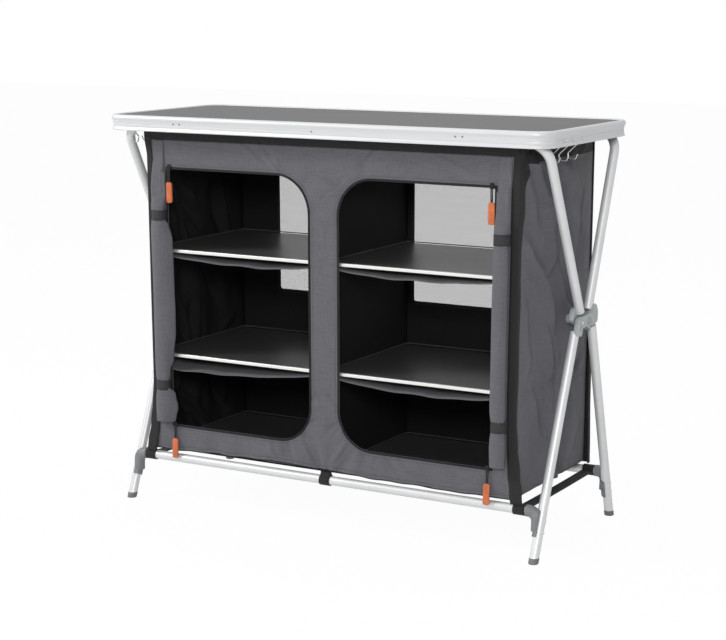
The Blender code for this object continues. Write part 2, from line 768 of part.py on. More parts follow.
def hem_curve(steps=12):
    """The lower hem, a little higher in the middle."""
    points = []
    for step in range(steps + 1):
        share = step / steps
        x = -cabinet_half + 2 * cabinet_half * share
        points.append((x, HEM_HEIGHT + HEM_RISE * math.sin(math.pi * share)))
    return points


def add_sleeve_ring(panel, bar_y):
    """Join the sleeve that wraps a top bar to a panel."""
    half = Vector((cabinet_half, 0, 0))
    bar = Vector((0, bar_y, top_bar_z))
    outer = rod(bar - half, bar + half, sleeve_outer)
    boolean(panel, add_cutter(panel.name + "_sleeve", *outer), "UNION")
    reach = half * 1.1
    inner = rod(bar - reach, bar + reach, sleeve_inner)
    boolean(panel, add_cutter(panel.name + "_sleeve_bore", *inner), "DIFFERENCE")


def add_panel(name, bar_y, sheet_y, holes, pivot):
    """A cloth wall that hangs from a top bar."""
    outline = hem_curve() + [(cabinet_half, top_bar_z), (-cabinet_half, top_bar_z)]
    mesh = flat_plate(name, [outline] + holes, CLOTH)
    place = Matrix.Translation((0, sheet_y, 0)) @ upright()
    panel = add_part(name, mesh, CLOTH_GREY, pivot, place)
    add_sleeve_ring(panel, bar_y)
    return panel


def window_outline(inner, outer, grow=0.0):
    """A window in the back wall, or the net sewn over both, from inner to outer."""
    half_z = (window_top - WINDOW_BOTTOM) / 2
    middle_z = (window_top + WINDOW_BOTTOM) / 2
    middle_x = (inner + outer) / 2
    half_x = (outer - inner) / 2
    loop = rounded_box_outline(half_x + grow, half_z + grow, WINDOW_CORNER + grow, 4)
    return [(x + middle_x, z + middle_z) for x, z in loop]


def add_cloth_walls(front_pivot, back_pivot):
    """The front wall with its two door openings, and the back wall with its two
    windows and the net over them."""
    front_y = front_face + CLOTH / 2
    back_y = rear_face - CLOTH / 2
    add_panel("front_panel", front_bar_y, front_y, [door_outline(-1), door_outline(1)],
              front_pivot)
    windows = [window_outline(-window_outer_x, -WINDOW_INNER_X),
               window_outline(WINDOW_INNER_X, window_outer_x)]
    add_panel("back_panel", rear_bar_y, back_y, windows, back_pivot)
    net = flat_plate("net", [window_outline(-window_outer_x, window_outer_x, NET_SEAM)], NET)
    place = Matrix.Translation((0, rear_face + GAP + NET / 2, 0)) @ upright()
    add_part("window_net", net, NET_PALE, back_pivot, place)


def stations(low, high, count):
    """Evenly spaced values from low to high."""
    return [low + (high - low) * i / count for i in range(count + 1)]


def sheet_mesh(name, columns, rows, surface, missing=None):
    """A grid sheet: surface(u, v) places each crossing of columns and rows."""
    shape = bmesh.new()
    bmesh.ops.create_grid(shape, x_segments=len(columns) - 1, y_segments=len(rows) - 1,
                          size=1.0)
    shape.verts.ensure_lookup_table()
    cells = []
    for face in shape.faces:
        middle = face.calc_center_median()
        column = int((middle.x + 1) / 2 * (len(columns) - 1))
        row = int((middle.y + 1) / 2 * (len(rows) - 1))
        if missing and missing(column, row):
            cells.append(face)
    for vert in shape.verts:
        column = round((vert.co.x + 1) / 2 * (len(columns) - 1))
        row = round((vert.co.y + 1) / 2 * (len(rows) - 1))
        vert.co = surface(columns[column], rows[row])
    bmesh.ops.delete(shape, geom=cells, context="FACES")
    bmesh.ops.recalc_face_normals(shape, faces=shape.faces)
    mesh = bpy.data.meshes.new(name)
    shape.to_mesh(mesh)
    shape.free()
    smooth(mesh, 60)
    return mesh


def side_bulge(y, z):
    """How far a side wall stands out: drape folds between the shelf seams."""
    levels = [HEM_HEIGHT, SHELF_TOPS[1], SHELF_TOPS[0], top_bar_z - sleeve_outer]
    across = (y - inside_front) / (inside_back - inside_front)
    edge = min(1.0, max(0.0, min(across, 1 - across) * 6))
    for number, (low, high) in enumerate(zip(levels, levels[1:])):
        if low <= z <= high:
            swell = math.sin(math.pi * (z - low) / (high - low)) ** 0.7
            wave = 0.55 + 0.45 * math.cos(2 * math.pi * SIDE_FOLDS * across + number * 1.3)
            return SIDE_BULGE * swell * wave * edge
    return 0.0


def add_side_wall(word, side):
    """A side wall with its drape folds, notched round the top bars' sleeves."""
    notch = sleeve_outer + GAP * 2
    columns = [inside_front, front_bar_y + notch]
    columns += stations(front_bar_y + notch, rear_bar_y - notch, 16)[1:]
    columns += [inside_back]
    rows = stations(HEM_HEIGHT, SHELF_TOPS[1], 5)
    rows += stations(SHELF_TOPS[1], SHELF_TOPS[0], 5)[1:]
    rows += stations(SHELF_TOPS[0], top_bar_z - notch, 5)[1:]
    rows += [top_bar_z + sleeve_outer]
    last_column = len(columns) - 2
    last_row = len(rows) - 2

    def surface(y, z):
        x = cabinet_half - CLOTH / 2 + side_bulge(y, z)
        return Vector((side * x, y, z))

    def missing(column, row):
        return row == last_row and column in (0, last_column)

    mesh = sheet_mesh("side", columns, rows, surface, missing)
    wall = add_part(f"side_wall_{word}", mesh, CLOTH_GREY, cloth_pivot)
    add_thickness(wall)


def add_thickness(piece, thickness=None):
    """Give a sheet its cloth thickness, half to each side."""
    cloth = piece.modifiers.new("cloth", "SOLIDIFY")
    cloth.thickness = thickness or CLOTH
    cloth.offset = 0


def add_divider():
    """The middle wall between the two compartments."""
    low = HEM_HEIGHT + CLOTH + GAP
    high = top_bar_z - sleeve_outer - GAP
    outline = [(inside_front, low), (inside_back, low), (inside_back, high),
               (inside_front, high)]
    mesh = flat_plate("divider", [outline], CLOTH)
    add_part("middle_divider", mesh, CLOTH_BLACK, cloth_pivot, upright(True))


def add_floor():
    """The cloth floor."""
    depth = inside_back - inside_front
    mesh = box_mesh("floor", (2 * inside_half, depth, CLOTH))
    place = Matrix.Translation((0, (inside_front + inside_back) / 2,
                                HEM_HEIGHT + CLOTH / 2))
    add_part("floor_cloth", mesh, CLOTH_BLACK, cloth_pivot, place)


def add_sling(name, side, shelf_top):
    """The cloth that a shelf board lies in: held at both ends, sagging between."""
    near = CLOTH / 2 + GAP
    far = inside_half
    top = shelf_top - SHELF_THICK - GAP - CLOTH / 2

    def surface(x, y):
        from_end = min(x - near, far - x)
        share = min(1.0, max(0.0, (from_end - SLING_STRIP) / 0.05))
        drop = SLING_SAG * share * share * (3 - 2 * share)
        return Vector((side * x, y, top - drop))

    columns = [near, near + SLING_STRIP, near + SLING_STRIP + 0.016, near + SLING_STRIP + 0.034]
    columns += stations(near + SLING_STRIP + 0.05, far - SLING_STRIP - 0.05, 3)
    columns += [far - SLING_STRIP - 0.034, far - SLING_STRIP - 0.016, far - SLING_STRIP, far]
    rows = [inside_front + GAP, inside_back]
    mesh = sheet_mesh("sling", columns, rows, surface)
    add_thickness(add_part(name, mesh, CLOTH_GREY, cloth_pivot))


def add_shelf_board(name, side, top, pivot):
    """A dark board with a rounded front edge."""
    near = CLOTH / 2 + SHELF_SIDE_GAP
    far = inside_half - SHELF_SIDE_GAP
    front = inside_front + SHELF_FRONT_GAP
    back = inside_back - SHELF_BACK_GAP
    size = (far - near, back - front, SHELF_THICK)
    mesh = box_mesh(name, size, 0.0008)
    middle = Vector((side * (near + far) / 2, (front + back) / 2, top - SHELF_THICK / 2))
    add_part(name, mesh, SHELF_DARK, pivot, Matrix.Translation(middle))


def roll_outline():
    """The section of a rolled door: one strip of cloth wound outward."""
    steps = 26
    outer = []
    inner = []
    for step in range(steps + 1):
        share = step / steps
        angle = 2 * math.pi * ROLL_TURNS * share
        reach = ROLL_CORE + (1 - ROLL_CORE) * share
        ray = Vector((math.cos(angle), math.sin(angle)))
        outer.append(Vector((ray.x * reach * ROLL_HALF_WIDTH,
                             ray.y * reach * ROLL_HALF_DEPTH)))
    for step, point in enumerate(outer):
        before = outer[max(step - 1, 0)]
        after = outer[min(step + 1, steps)]
        across = Vector((after.y - before.y, before.x - after.x)).normalized()
        inner.append(point - across * ROLL_CLOTH)
    return outer + inner[::-1]


def add_rolled_door(word, side):
    """A door rolled up to its outer edge and tied twice."""
    low = DOOR_BOTTOM + ROLL_MARGIN
    high = door_top - ROLL_MARGIN
    heights = [low]
    for tie in (tie_low, tie_high):
        heights += [tie - 0.040, tie - 0.010, tie + 0.010, tie + 0.040]
    heights.append(high)
    shape = bmesh.new()
    verts = [shape.verts.new((x, y, low)) for x, y in roll_outline()]
    face = shape.faces.new(verts)
    width = 1.0
    for below, above in zip(heights, heights[1:]):
        tied = min(abs(above - tie_low), abs(above - tie_high)) < 0.02
        target = ROLL_WAIST if tied else 1.0
        grown = bmesh.ops.extrude_face_region(shape, geom=[face])
        new_verts = [item for item in grown["geom"] if isinstance(item, bmesh.types.BMVert)]
        new_faces = [item for item in grown["geom"] if isinstance(item, bmesh.types.BMFace)]
        if below != heights[0]:
            bmesh.ops.delete(shape, geom=[face], context="FACES_ONLY")
        bmesh.ops.translate(shape, vec=(0, 0, above - below), verts=new_verts)
        scale = target / width
        bmesh.ops.scale(shape, vec=(scale, scale, 1), verts=new_verts)
        width = target
        face = new_faces[0]
    bmesh.ops.recalc_face_normals(shape, faces=shape.faces)
    mesh = bpy.data.meshes.new("roll")
    shape.to_mesh(mesh)
    shape.free()
    smooth(mesh, 50)
    if side < 0:
        mesh.transform(Matrix.Scale(-1, 4, (1, 0, 0)))
        mesh.flip_normals()
    back = max(point.y for point in roll_outline())
    place = Matrix.Translation((side * roll_x, front_face - GAP - back, 0))
    add_part(f"rolled_door_{word}", mesh, CLOTH_GREY, front_pivot, place)


def pull_rest(zip_z):
    """How far a pull hangs outward: a low one leans on the front bottom bar."""
    bar = hub + base_bar_offset(FRAMES["rear"])
    if zip_z - PULL_CORD_LENGTH - PULL_LENGTH > bar.z + TUBE_RADIUS:
        return 0.0
    reach = front_face - GAP - (bar.y - TUBE_RADIUS - GAP * 2)
    return math.asin(max(0.0, reach) / (zip_z - bar.z))


def add_pull(name, side, zip_z, pivot):
    """A zip pull: a short cord with a moulded grip, hanging from its slider."""
    hang = (Matrix.Translation((side * pull_x, front_face - GAP - PULL_DEPTH / 2, zip_z))
            @ Matrix.Rotation(-pull_rest(zip_z), 4, "X"))
    grip_mesh = box_mesh(name, (PULL_WIDTH, PULL_DEPTH, PULL_LENGTH), 0.0012)
    grip_z = -PULL_CORD_LENGTH - PULL_LENGTH / 2
    pull = add_part(name, grip_mesh, ORANGE, pivot,
                    hang @ Matrix.Translation((0, 0, grip_z)))
    cord, cord_place = rod((0, 0, -PULL_CORD_LENGTH - PULL_DEPTH), (0, 0, 0), PULL_CORD, 8)
    boolean(pull, add_cutter(name + "_cord", cord, hang @ cord_place), "UNION")
    half = PULL_EYE_LENGTH / 2
    eye, eye_place = rod((-half, 0, 0), (half, 0, 0), PULL_EYE_RADIUS, 10)
    boolean(pull, add_cutter(name + "_eye", eye, hang @ eye_place), "UNION")


def add_side_strap(word, side, pivot):
    """The strap from the front bottom bar to the rear one, which stops the spread."""
    name = f"side_strap_{word}"
    bars = [hub + base_bar_offset(FRAMES[key]) + Vector((side * strap_x, 0, 0))
            for key in ("rear", "front")]
    half = Vector((STRAP_WIDTH / 2, 0, 0))
    outer = sleeve_inner + STRAP_THICK
    length = (bars[1] - bars[0]).length
    band = box_mesh(name, (STRAP_WIDTH, length, STRAP_THICK))
    middle = (bars[0] + bars[1]) / 2
    strap = add_part(name, band, WEBBING, pivot, Matrix.Translation(middle))
    for bar in bars:
        loop = rod(bar - half, bar + half, outer)
        boolean(strap, add_cutter(name + "_loop", *loop), "UNION")
    for bar in bars:
        hole = rod(bar - half * 2, bar + half * 2, sleeve_inner)
        boolean(strap, add_cutter(name + "_hole", *hole), "DIFFERENCE")


def add_centre_strap(pivot):
    """The strap round the middle of the front bottom bar, up to the hem."""
    bar = hub + base_bar_offset(FRAMES["rear"])
    half = Vector((CENTRE_STRAP_WIDTH / 2, 0, 0))
    outer = sleeve_inner + STRAP_THICK
    top = HEM_HEIGHT - GAP
    tab = box_mesh("tab", (CENTRE_STRAP_WIDTH, STRAP_THICK, top - bar.z - sleeve_inner))
    tab_place = Matrix.Translation((bar.x, bar.y, (top + bar.z + sleeve_inner) / 2))
    mesh, place = rod(bar - half, bar + half, outer)
    strap = add_part("centre_strap", mesh, WEBBING, pivot, place)
    boolean(strap, add_cutter("centre_strap_tab", tab, tab_place), "UNION")
    hole = rod(bar - half * 2, bar + half * 2, sleeve_inner)
    boolean(strap, add_cutter("centre_strap_hole", *hole), "DIFFERENCE")


# Pivots, on the joints' axes
rear_frame_pivot = make_pivot("rear_frame_axis", hub)
front_frame_pivot = make_pivot("front_frame_axis", hub)
table_pivot = make_pivot("table_lift", (0, table_y, rim_bottom))
front_pivot = make_pivot("front_panel_axis", (0, front_bar_y, top_bar_z))
back_pivot = make_pivot("back_panel_axis", (0, rear_bar_y, top_bar_z))
cloth_pivot = make_pivot("cloth_slide", (0, hub_y, HUB_HEIGHT))
strap_pivot = make_pivot("strap_slide", (0, hub_y, BASE_BAR_HEIGHT))

add_frame("rear", FRAMES["rear"], rear_frame_pivot)
add_frame("front", FRAMES["front"], front_frame_pivot)
add_pins()
add_table(table_pivot)

hook_pivots = {}
for word, side in SIDES.items():
    for number, back in enumerate(HOOK_PLACES, 1):
        hook_name = f"hook_{word}_{number}"
        hook_pivots[hook_name] = make_pivot(hook_name + "_axis", hook_hole(side, back))
add_hooks(hook_pivots)

add_cloth_walls(front_pivot, back_pivot)
for word, side in SIDES.items():
    add_side_wall(word, side)
add_divider()
add_floor()
for level, shelf_top in zip(("upper", "middle"), SHELF_TOPS):
    for word, side in SIDES.items():
        add_sling(f"shelf_sling_{level}_{word}", side, shelf_top)

for level, top in zip(("upper", "middle", "floor"), (*SHELF_TOPS, floor_board_top)):
    for word, side in SIDES.items():
        board_pivot = make_pivot(f"shelf_{level}_{word}_axis",
                                 (0, inside_front + SHELF_FRONT_GAP, top))
        add_shelf_board(f"shelf_board_{level}_{word}", side, top, board_pivot)

for word, side in SIDES.items():
    add_rolled_door(word, side)
    add_side_strap(word, side, strap_pivot)
    for level, zip_z in (("upper", door_top + 0.003), ("lower", DOOR_BOTTOM - 0.001)):
        pull_axis = (side * pull_x, front_face - GAP - PULL_DEPTH / 2, zip_z)
        pull_pivot = make_pivot(f"zip_pull_{level}_{word}_axis", pull_axis)
        add_pull(f"zip_pull_{level}_{word}", side, zip_z, pull_pivot)
add_centre_strap(rear_frame_pivot)
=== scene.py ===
"""Folding camping cupboard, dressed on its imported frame.

Metres, +Z up, the doors face -Y. The part is a worktop on two crossed tube frames
with a two-bay cloth cabinet hung from their top bars.
"""

import math

import bmesh
import bpy
from mathutils import Matrix, Vector


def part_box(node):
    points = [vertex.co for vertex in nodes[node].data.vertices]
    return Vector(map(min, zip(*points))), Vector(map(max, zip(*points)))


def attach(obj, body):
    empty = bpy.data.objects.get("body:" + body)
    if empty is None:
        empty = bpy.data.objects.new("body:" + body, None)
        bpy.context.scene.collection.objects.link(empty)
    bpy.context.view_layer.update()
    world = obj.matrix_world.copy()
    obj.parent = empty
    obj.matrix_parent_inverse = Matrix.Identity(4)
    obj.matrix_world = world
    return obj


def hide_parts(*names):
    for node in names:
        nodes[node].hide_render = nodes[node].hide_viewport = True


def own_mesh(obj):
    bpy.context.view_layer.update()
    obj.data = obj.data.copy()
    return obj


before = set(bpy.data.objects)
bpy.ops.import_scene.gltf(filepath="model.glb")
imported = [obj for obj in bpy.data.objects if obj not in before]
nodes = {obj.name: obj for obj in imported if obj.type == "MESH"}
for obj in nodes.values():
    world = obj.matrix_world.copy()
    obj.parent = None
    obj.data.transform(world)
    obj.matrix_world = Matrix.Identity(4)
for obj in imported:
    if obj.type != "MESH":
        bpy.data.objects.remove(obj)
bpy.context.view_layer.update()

SIDES = {"left": -1, "right": 1}

# The camera, as fitted to the photograph
IMAGE_WIDTH = 726
IMAGE_HEIGHT = 640
FOCAL_PIXELS = 1794.655
PRINCIPAL_PIXEL = (371.895, 443.503)
CAMERA_PLACE = (1.8574, -3.2456, 1.0838)
CAMERA_DOWN = math.radians(14.159)
CAMERA_TURN = math.radians(29.5466)

# The frame's routes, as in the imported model
HUB_Y = 0.02845
HUB_HEIGHT = 0.4485
LEG_X = 0.4854
TUBE_RADIUS = 0.0095
TUBE_BEND = 0.045
TOP_BAR_HEIGHT = 0.8118
FRONT_BAR_Y = -0.16615
REAR_BAR_Y = 0.17835
BASE_BAR_HEIGHT = 0.098
BASE_BAR_HALF = 0.470
FRONT_BASE_Y = -0.16138
REAR_BASE_Y = 0.18537

# The worktop
TABLE_TOP = 0.834
TABLE_HALF = 0.509
TABLE_FRONT = -0.21255
TABLE_BACK = 0.19745
TABLE_CORNER = 0.045
RIVET_INSET = 0.0036
HOOK_HOLE_X = 0.5033
HOOK_HOLE_HEIGHT = 0.8125
HOOK_PLACES = (-0.13248, -0.09448, -0.05148)

# The cloth cabinet
CLOTH = 0.0010
CANVAS_THICK = 0.0009
BAR_CLEARANCE = 0.0003
CABINET_HALF = 0.430
FRONT_FACE = -0.16665
REAR_FACE = 0.18915
INSIDE_FRONT = -0.16535
INSIDE_BACK = 0.18785
HEM = 0.117
FACE_TOP = 0.7860
BAND_BOTTOM = 0.7825
# Above this height the side walls are black, 15 mm lower than the front's band
SIDE_BLACK_BOTTOM = 0.7672
SIDE_SEAMS = {"upper": 0.5380, "lower": 0.3165}
SEAM_SINK = 0.022
STITCH_PITCH = 0.0046
OPENINGS_END = 0.76
DOOR_INNER = 0.036
DOOR_OUTER = 0.380
DOOR_BOTTOM = 0.174
DOOR_TOP = 0.722
DOOR_CORNER = 0.075
WINDOW_INNER = 0.017
WINDOW_OUTER = 0.328
WINDOW_BOTTOM = 0.4235
WINDOW_TOP = 0.735
WINDOW_CORNER = 0.006
NET_SEAM = 0.006
NET_PITCH = 0.00175
NET_THREAD_WIDTH = 0.00046
TIES = {"upper": 0.626, "lower": 0.261}
SHELVES = {"upper": 0.553, "middle": 0.328}
FLOOR_BOARD_TOP = 0.1243
SHELF_THICK = 0.006
PULL_X = 0.3745
LOWER_PULL_LEAN = math.asin(0.00453 / 0.075)
GRIP_SIZE = (0.0135, 0.0045, 0.043)
SLIDER_SIZE = (0.0086, 0.0034, 0.0110)
STRAP_X = 0.4435
STRAP_WIDTH = 0.025
STRAP_THICK = 0.0016
STRAP_LOOP_RADIUS = TUBE_RADIUS + BAR_CLEARANCE + 0.0009


def add_camera():
    """The camera that took the photograph, fitted to the rim, bars, hubs and feet."""
    lens = bpy.data.cameras.new("camera")
    lens.sensor_fit = "HORIZONTAL"
    lens.sensor_width = 36.0
    lens.lens = FOCAL_PIXELS * lens.sensor_width / IMAGE_WIDTH
    lens.shift_x = (IMAGE_WIDTH / 2 - PRINCIPAL_PIXEL[0]) / IMAGE_WIDTH
    lens.shift_y = (PRINCIPAL_PIXEL[1] - IMAGE_HEIGHT / 2) / IMAGE_WIDTH
    lens.clip_end = 60.0
    camera = bpy.data.objects.new("camera", lens)
    camera.location = CAMERA_PLACE
    camera.rotation_euler = (math.pi / 2 - CAMERA_DOWN, 0.0, CAMERA_TURN)
    bpy.context.scene.collection.objects.link(camera)
    bpy.context.scene.camera = camera


# Finishes

def node_tree(name):
    """A new node material and its Principled shader."""
    material = bpy.data.materials.new(name)
    material.use_nodes = True
    return material, material.node_tree, material.node_tree.nodes["Principled BSDF"]


def object_place(tree, stretch=(1.0, 1.0, 1.0)):
    """The piece's own coordinates, stretched."""
    coordinates = tree.nodes.new("ShaderNodeTexCoord")
    mapping = tree.nodes.new("ShaderNodeMapping")
    mapping.inputs["Scale"].default_value = stretch
    tree.links.new(coordinates.outputs["Object"], mapping.inputs["Vector"])
    return mapping.outputs["Vector"]


def noise(tree, scale, detail, stretch=(1.0, 1.0, 1.0)):
    """Fractal noise on the piece's own coordinates."""
    texture = tree.nodes.new("ShaderNodeTexNoise")
    texture.inputs["Scale"].default_value = scale
    texture.inputs["Detail"].default_value = detail
    tree.links.new(object_place(tree, stretch), texture.inputs["Vector"])
    return texture.outputs["Fac"]


def arithmetic(tree, operation, first, second=0.0):
    """A Math node of two values, each a socket or a number."""
    node = tree.nodes.new("ShaderNodeMath")
    node.operation = operation
    for socket, value in zip(node.inputs, (first, second)):
        if isinstance(value, (int, float)):
            socket.default_value = value
        else:
            tree.links.new(value, socket)
    return node.outputs[0]


def blend(tree, first, first_share, second, second_share):
    """Two values, each times its share, added."""
    return arithmetic(tree, "ADD", arithmetic(tree, "MULTIPLY", first, first_share),
                      arithmetic(tree, "MULTIPLY", second, second_share))


def vary_colour(tree, shader, factor, colour, span, shares):
    """Run the base colour from a darker to a lighter share of a colour; span is the two
    values of factor where the run starts and ends."""
    ramp = tree.nodes.new("ShaderNodeValToRGB")
    for element, position, share in zip(ramp.color_ramp.elements, span, shares):
        element.position = position
        element.color = (*(min(1.0, channel * share) for channel in colour), 1.0)
    tree.links.new(factor, ramp.inputs["Fac"])
    tree.links.new(ramp.outputs["Color"], shader.inputs["Base Color"])


def vary_roughness(tree, shader, factor, low, high):
    """Run the roughness from low to high with factor."""
    node = tree.nodes.new("ShaderNodeMapRange")
    node.inputs["To Min"].default_value = low
    node.inputs["To Max"].default_value = high
    tree.links.new(factor, node.inputs["Value"])
    tree.links.new(node.outputs["Result"], shader.inputs["Roughness"])


def relief(tree, shader, height, distance, strength):
    """Bump from a height that runs from 0 to 1, distance deep."""
    node = tree.nodes.new("ShaderNodeBump")
    node.inputs["Strength"].default_value = strength
    node.inputs["Distance"].default_value = distance
    tree.links.new(height, node.inputs["Height"])
    tree.links.new(node.outputs["Normal"], shader.inputs["Normal"])


def ripple(tree, value, pitch):
    """A sine of a coordinate, one wave for each pitch, from -1 to 1."""
    return arithmetic(tree, "SINE", arithmetic(tree, "MULTIPLY", value, 2 * math.pi / pitch))


def axes(tree):
    """The piece's own coordinates as three values."""
    split = tree.nodes.new("ShaderNodeSeparateXYZ")
    tree.links.new(object_place(tree), split.inputs[0])
    return split.outputs


def weave(tree, pitch):
    """Threads that pass over and under each other, upright and across."""
    x, y, z = axes(tree)
    warp = ripple(tree, arithmetic(tree, "ADD", x, y), pitch)
    return arithmetic(tree, "MULTIPLY", warp, ripple(tree, z, pitch))


def cloth_finish(name, colour, contrast, sheen):
    """Coated cloth: slubs along both threads, a fine weave and soft creases."""
    material, tree, shader = node_tree(name)
    slub_up = noise(tree, 1.0, 2.0, (760.0, 760.0, 45.0))
    slub_across = noise(tree, 1.0, 2.0, (45.0, 45.0, 760.0))
    cloud = noise(tree, 9.0, 2.0)
    slubs = arithmetic(tree, "ADD", slub_up, slub_across)
    vary_colour(tree, shader, blend(tree, slubs, 0.4, cloud, 0.2), colour, (0.36, 0.64),
                (1 - contrast, 1 + contrast))
    vary_roughness(tree, shader, cloud, 0.78, 0.9)
    shader.inputs["Sheen Weight"].default_value = sheen
    shader.inputs["Sheen Roughness"].default_value = 0.5
    shader.inputs["Specular IOR Level"].default_value = 0.25
    crease = noise(tree, 26.0, 3.0, (1.0, 1.0, 0.6))
    relief(tree, shader, blend(tree, weave(tree, 0.0011), 0.10, crease, 1.0), 0.0016, 0.7)
    return material


def webbing_finish(name, colour):
    """Woven webbing: ribs across the strap and a slightly shiny thread."""
    material, tree, shader = node_tree(name)
    speckle = noise(tree, 900.0, 2.0)
    vary_colour(tree, shader, speckle, colour, (0.3, 0.7), (0.6, 1.5))
    vary_roughness(tree, shader, speckle, 0.6, 0.8)
    shader.inputs["Sheen Weight"].default_value = 0.04
    shader.inputs["Specular IOR Level"].default_value = 0.25
    _, y, z = axes(tree)
    ribs = arithmetic(tree, "ADD", ripple(tree, z, 0.0019), ripple(tree, y, 0.0019))
    relief(tree, shader, arithmetic(tree, "ADD", ribs, speckle), 0.0003, 0.6)
    return material


def paint_finish(name, colour, metallic, roughness):
    """Powder coat on tube: fine orange peel and faint cloudiness."""
    material, tree, shader = node_tree(name)
    cloud = noise(tree, 14.0, 3.0)
    vary_colour(tree, shader, cloud, colour, (0.3, 0.7), (0.95, 1.04))
    shader.inputs["Metallic"].default_value = metallic
    vary_roughness(tree, shader, cloud, roughness - 0.05, roughness + 0.06)
    relief(tree, shader, noise(tree, 900.0, 2.0), 0.00008, 0.5)
    return material


def brushed_finish(name, colour, metallic, roughness):
    """Satin aluminium: brush lines along the length."""
    material, tree, shader = node_tree(name)
    lines = noise(tree, 1.0, 3.0, (6.0, 6.0, 1600.0))
    vary_colour(tree, shader, lines, colour, (0.3, 0.7), (0.93, 1.05))
    shader.inputs["Metallic"].default_value = metallic
    vary_roughness(tree, shader, lines, roughness - 0.05, roughness + 0.1)
    relief(tree, shader, lines, 0.00006, 0.5)
    return material


def laminate_finish(name, colour, roughness, grain, gloss):
    """Laminate on board: a fine pebbled surface with a little speckle."""
    material, tree, shader = node_tree(name)
    speckle = noise(tree, 520.0, 3.0)
    cloud = noise(tree, 5.0, 2.0)
    vary_colour(tree, shader, blend(tree, speckle, 0.6, cloud, 0.4), colour, (0.35, 0.65),
                (1 - grain, 1 + grain))
    vary_roughness(tree, shader, cloud, roughness - 0.04, roughness + 0.06)
    shader.inputs["Specular IOR Level"].default_value = gloss
    relief(tree, shader, speckle, 0.00012, 0.6)
    return material


def plastic_finish(name, colour, roughness):
    """Moulded plastic: spark-eroded grain, scuffed a little."""
    material, tree, shader = node_tree(name)
    grain = noise(tree, 1100.0, 2.0)
    scuff = noise(tree, 60.0, 4.0)
    vary_colour(tree, shader, scuff, colour, (0.35, 0.7), (0.86, 1.14))
    vary_roughness(tree, shader, scuff, roughness - 0.08, roughness + 0.1)
    relief(tree, shader, grain, 0.0001, 0.6)
    return material


def wire_finish(name, colour, roughness):
    """Plated wire with faint drawing marks."""
    material, tree, shader = node_tree(name)
    marks = noise(tree, 300.0, 3.0)
    vary_colour(tree, shader, marks, colour, (0.3, 0.7), (0.8, 1.0))
    shader.inputs["Metallic"].default_value = 1.0
    vary_roughness(tree, shader, marks, roughness - 0.05, roughness + 0.1)
    relief(tree, shader, marks, 0.00005, 0.4)
    return material


TUBE_PAINT = paint_finish("tube_paint", (0.63, 0.64, 0.645), 0.25, 0.42)
RIM_METAL = brushed_finish("rim_metal", (0.58, 0.59, 0.60), 0.25, 0.44)
TRIM_METAL = brushed_finish("trim_metal", (0.80, 0.80, 0.78), 0.7, 0.30)
WORKTOP_GREY = laminate_finish("worktop_grey", (0.088, 0.088, 0.088), 0.55, 0.10, 0.25)
SHELF_LAMINATE = laminate_finish("shelf_laminate", (0.056, 0.056, 0.055), 0.34, 0.14, 1.0)
CANVAS_GREY = cloth_finish("canvas_grey", (0.106, 0.105, 0.118), 0.15, 0.10)
LINING_BLACK = cloth_finish("lining_black", (0.007, 0.007, 0.0076), 0.25, 0.0)
BAND_BLACK = cloth_finish("band_black", (0.016, 0.016, 0.017), 0.35, 0.04)
WEBBING_BLACK = webbing_finish("webbing_black", (0.013, 0.013, 0.014))
TIE_BLACK = webbing_finish("tie_black", (0.027, 0.027, 0.029))
NET_THREAD = webbing_finish("net_thread", (0.030, 0.030, 0.030))
CORD_BLACK = webbing_finish("cord_black", (0.020, 0.020, 0.021))
THREAD_GREY = webbing_finish("thread_grey", (0.060, 0.060, 0.066))
ZIP_BLACK = webbing_finish("zip_black", (0.009, 0.009, 0.010))
HUB_GREY = plastic_finish("hub_grey", (0.36, 0.39, 0.385), 0.45)
PIN_GREY = plastic_finish("pin_grey", (0.27, 0.285, 0.285), 0.35)
ELBOW_GREY = plastic_finish("elbow_grey", (0.17, 0.175, 0.18), 0.5)
FOOT_GREY = plastic_finish("foot_grey", (0.13, 0.13, 0.135), 0.6)
CLIP_BLACK = plastic_finish("clip_black", (0.030, 0.030, 0.031), 0.5)
PULL_ORANGE = plastic_finish("pull_orange", (0.50, 0.125, 0.04), 0.45)
HOOK_WIRE = wire_finish("hook_wire", (0.62, 0.62, 0.62), 0.24)
RIM_RIVET = wire_finish("rim_rivet", (0.26, 0.26, 0.27), 0.4)
RIVET_METAL = wire_finish("rivet_metal", (0.66, 0.66, 0.66), 0.34)
WALL_FINISHES = [CANVAS_GREY, LINING_BLACK, BAND_BLACK, LINING_BLACK]
BAND_INDEX = 2

# How pieces are made

def finish_piece(name, shape, finishes, body, angle=50):
    """Turn a bmesh into a named piece that rides on a body."""
    mesh = bpy.data.meshes.new(name)
    shape.to_mesh(mesh)
    shape.free()
    return finish_mesh(name, mesh, finishes, body, angle)


def finish_mesh(name, mesh, finishes, body, angle=50):
    """Turn a mesh into a named piece that rides on a body."""
    mesh.shade_smooth()
    mesh.set_sharp_from_angle(angle=math.radians(angle))
    for finish in finishes:
        mesh.materials.append(finish)
    piece = bpy.data.objects.new(name, mesh)
    bpy.context.scene.collection.objects.link(piece)
    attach(piece, body)
    return piece


def spread(low, high, count):
    """Evenly spaced values from low to high."""
    return [low + (high - low) * step / count for step in range(count + 1)]


def smooth_step(value):
    """An eased run from 0 to 1."""
    value = min(1.0, max(0.0, value))
    return value * value * (3 - 2 * value)


def hump(value, middle, width):
    """A soft bump of height 1 round middle."""
    return math.exp(-((value - middle) / width) ** 2)


def at_height(marks, z):
    """The value at a height between the nearest two of some (height, value) marks."""
    for (low, first), (high, second) in zip(marks, marks[1:]):
        if z <= high:
            return first + (second - first) * smooth_step((z - low) / (high - low))
    return marks[-1][1]


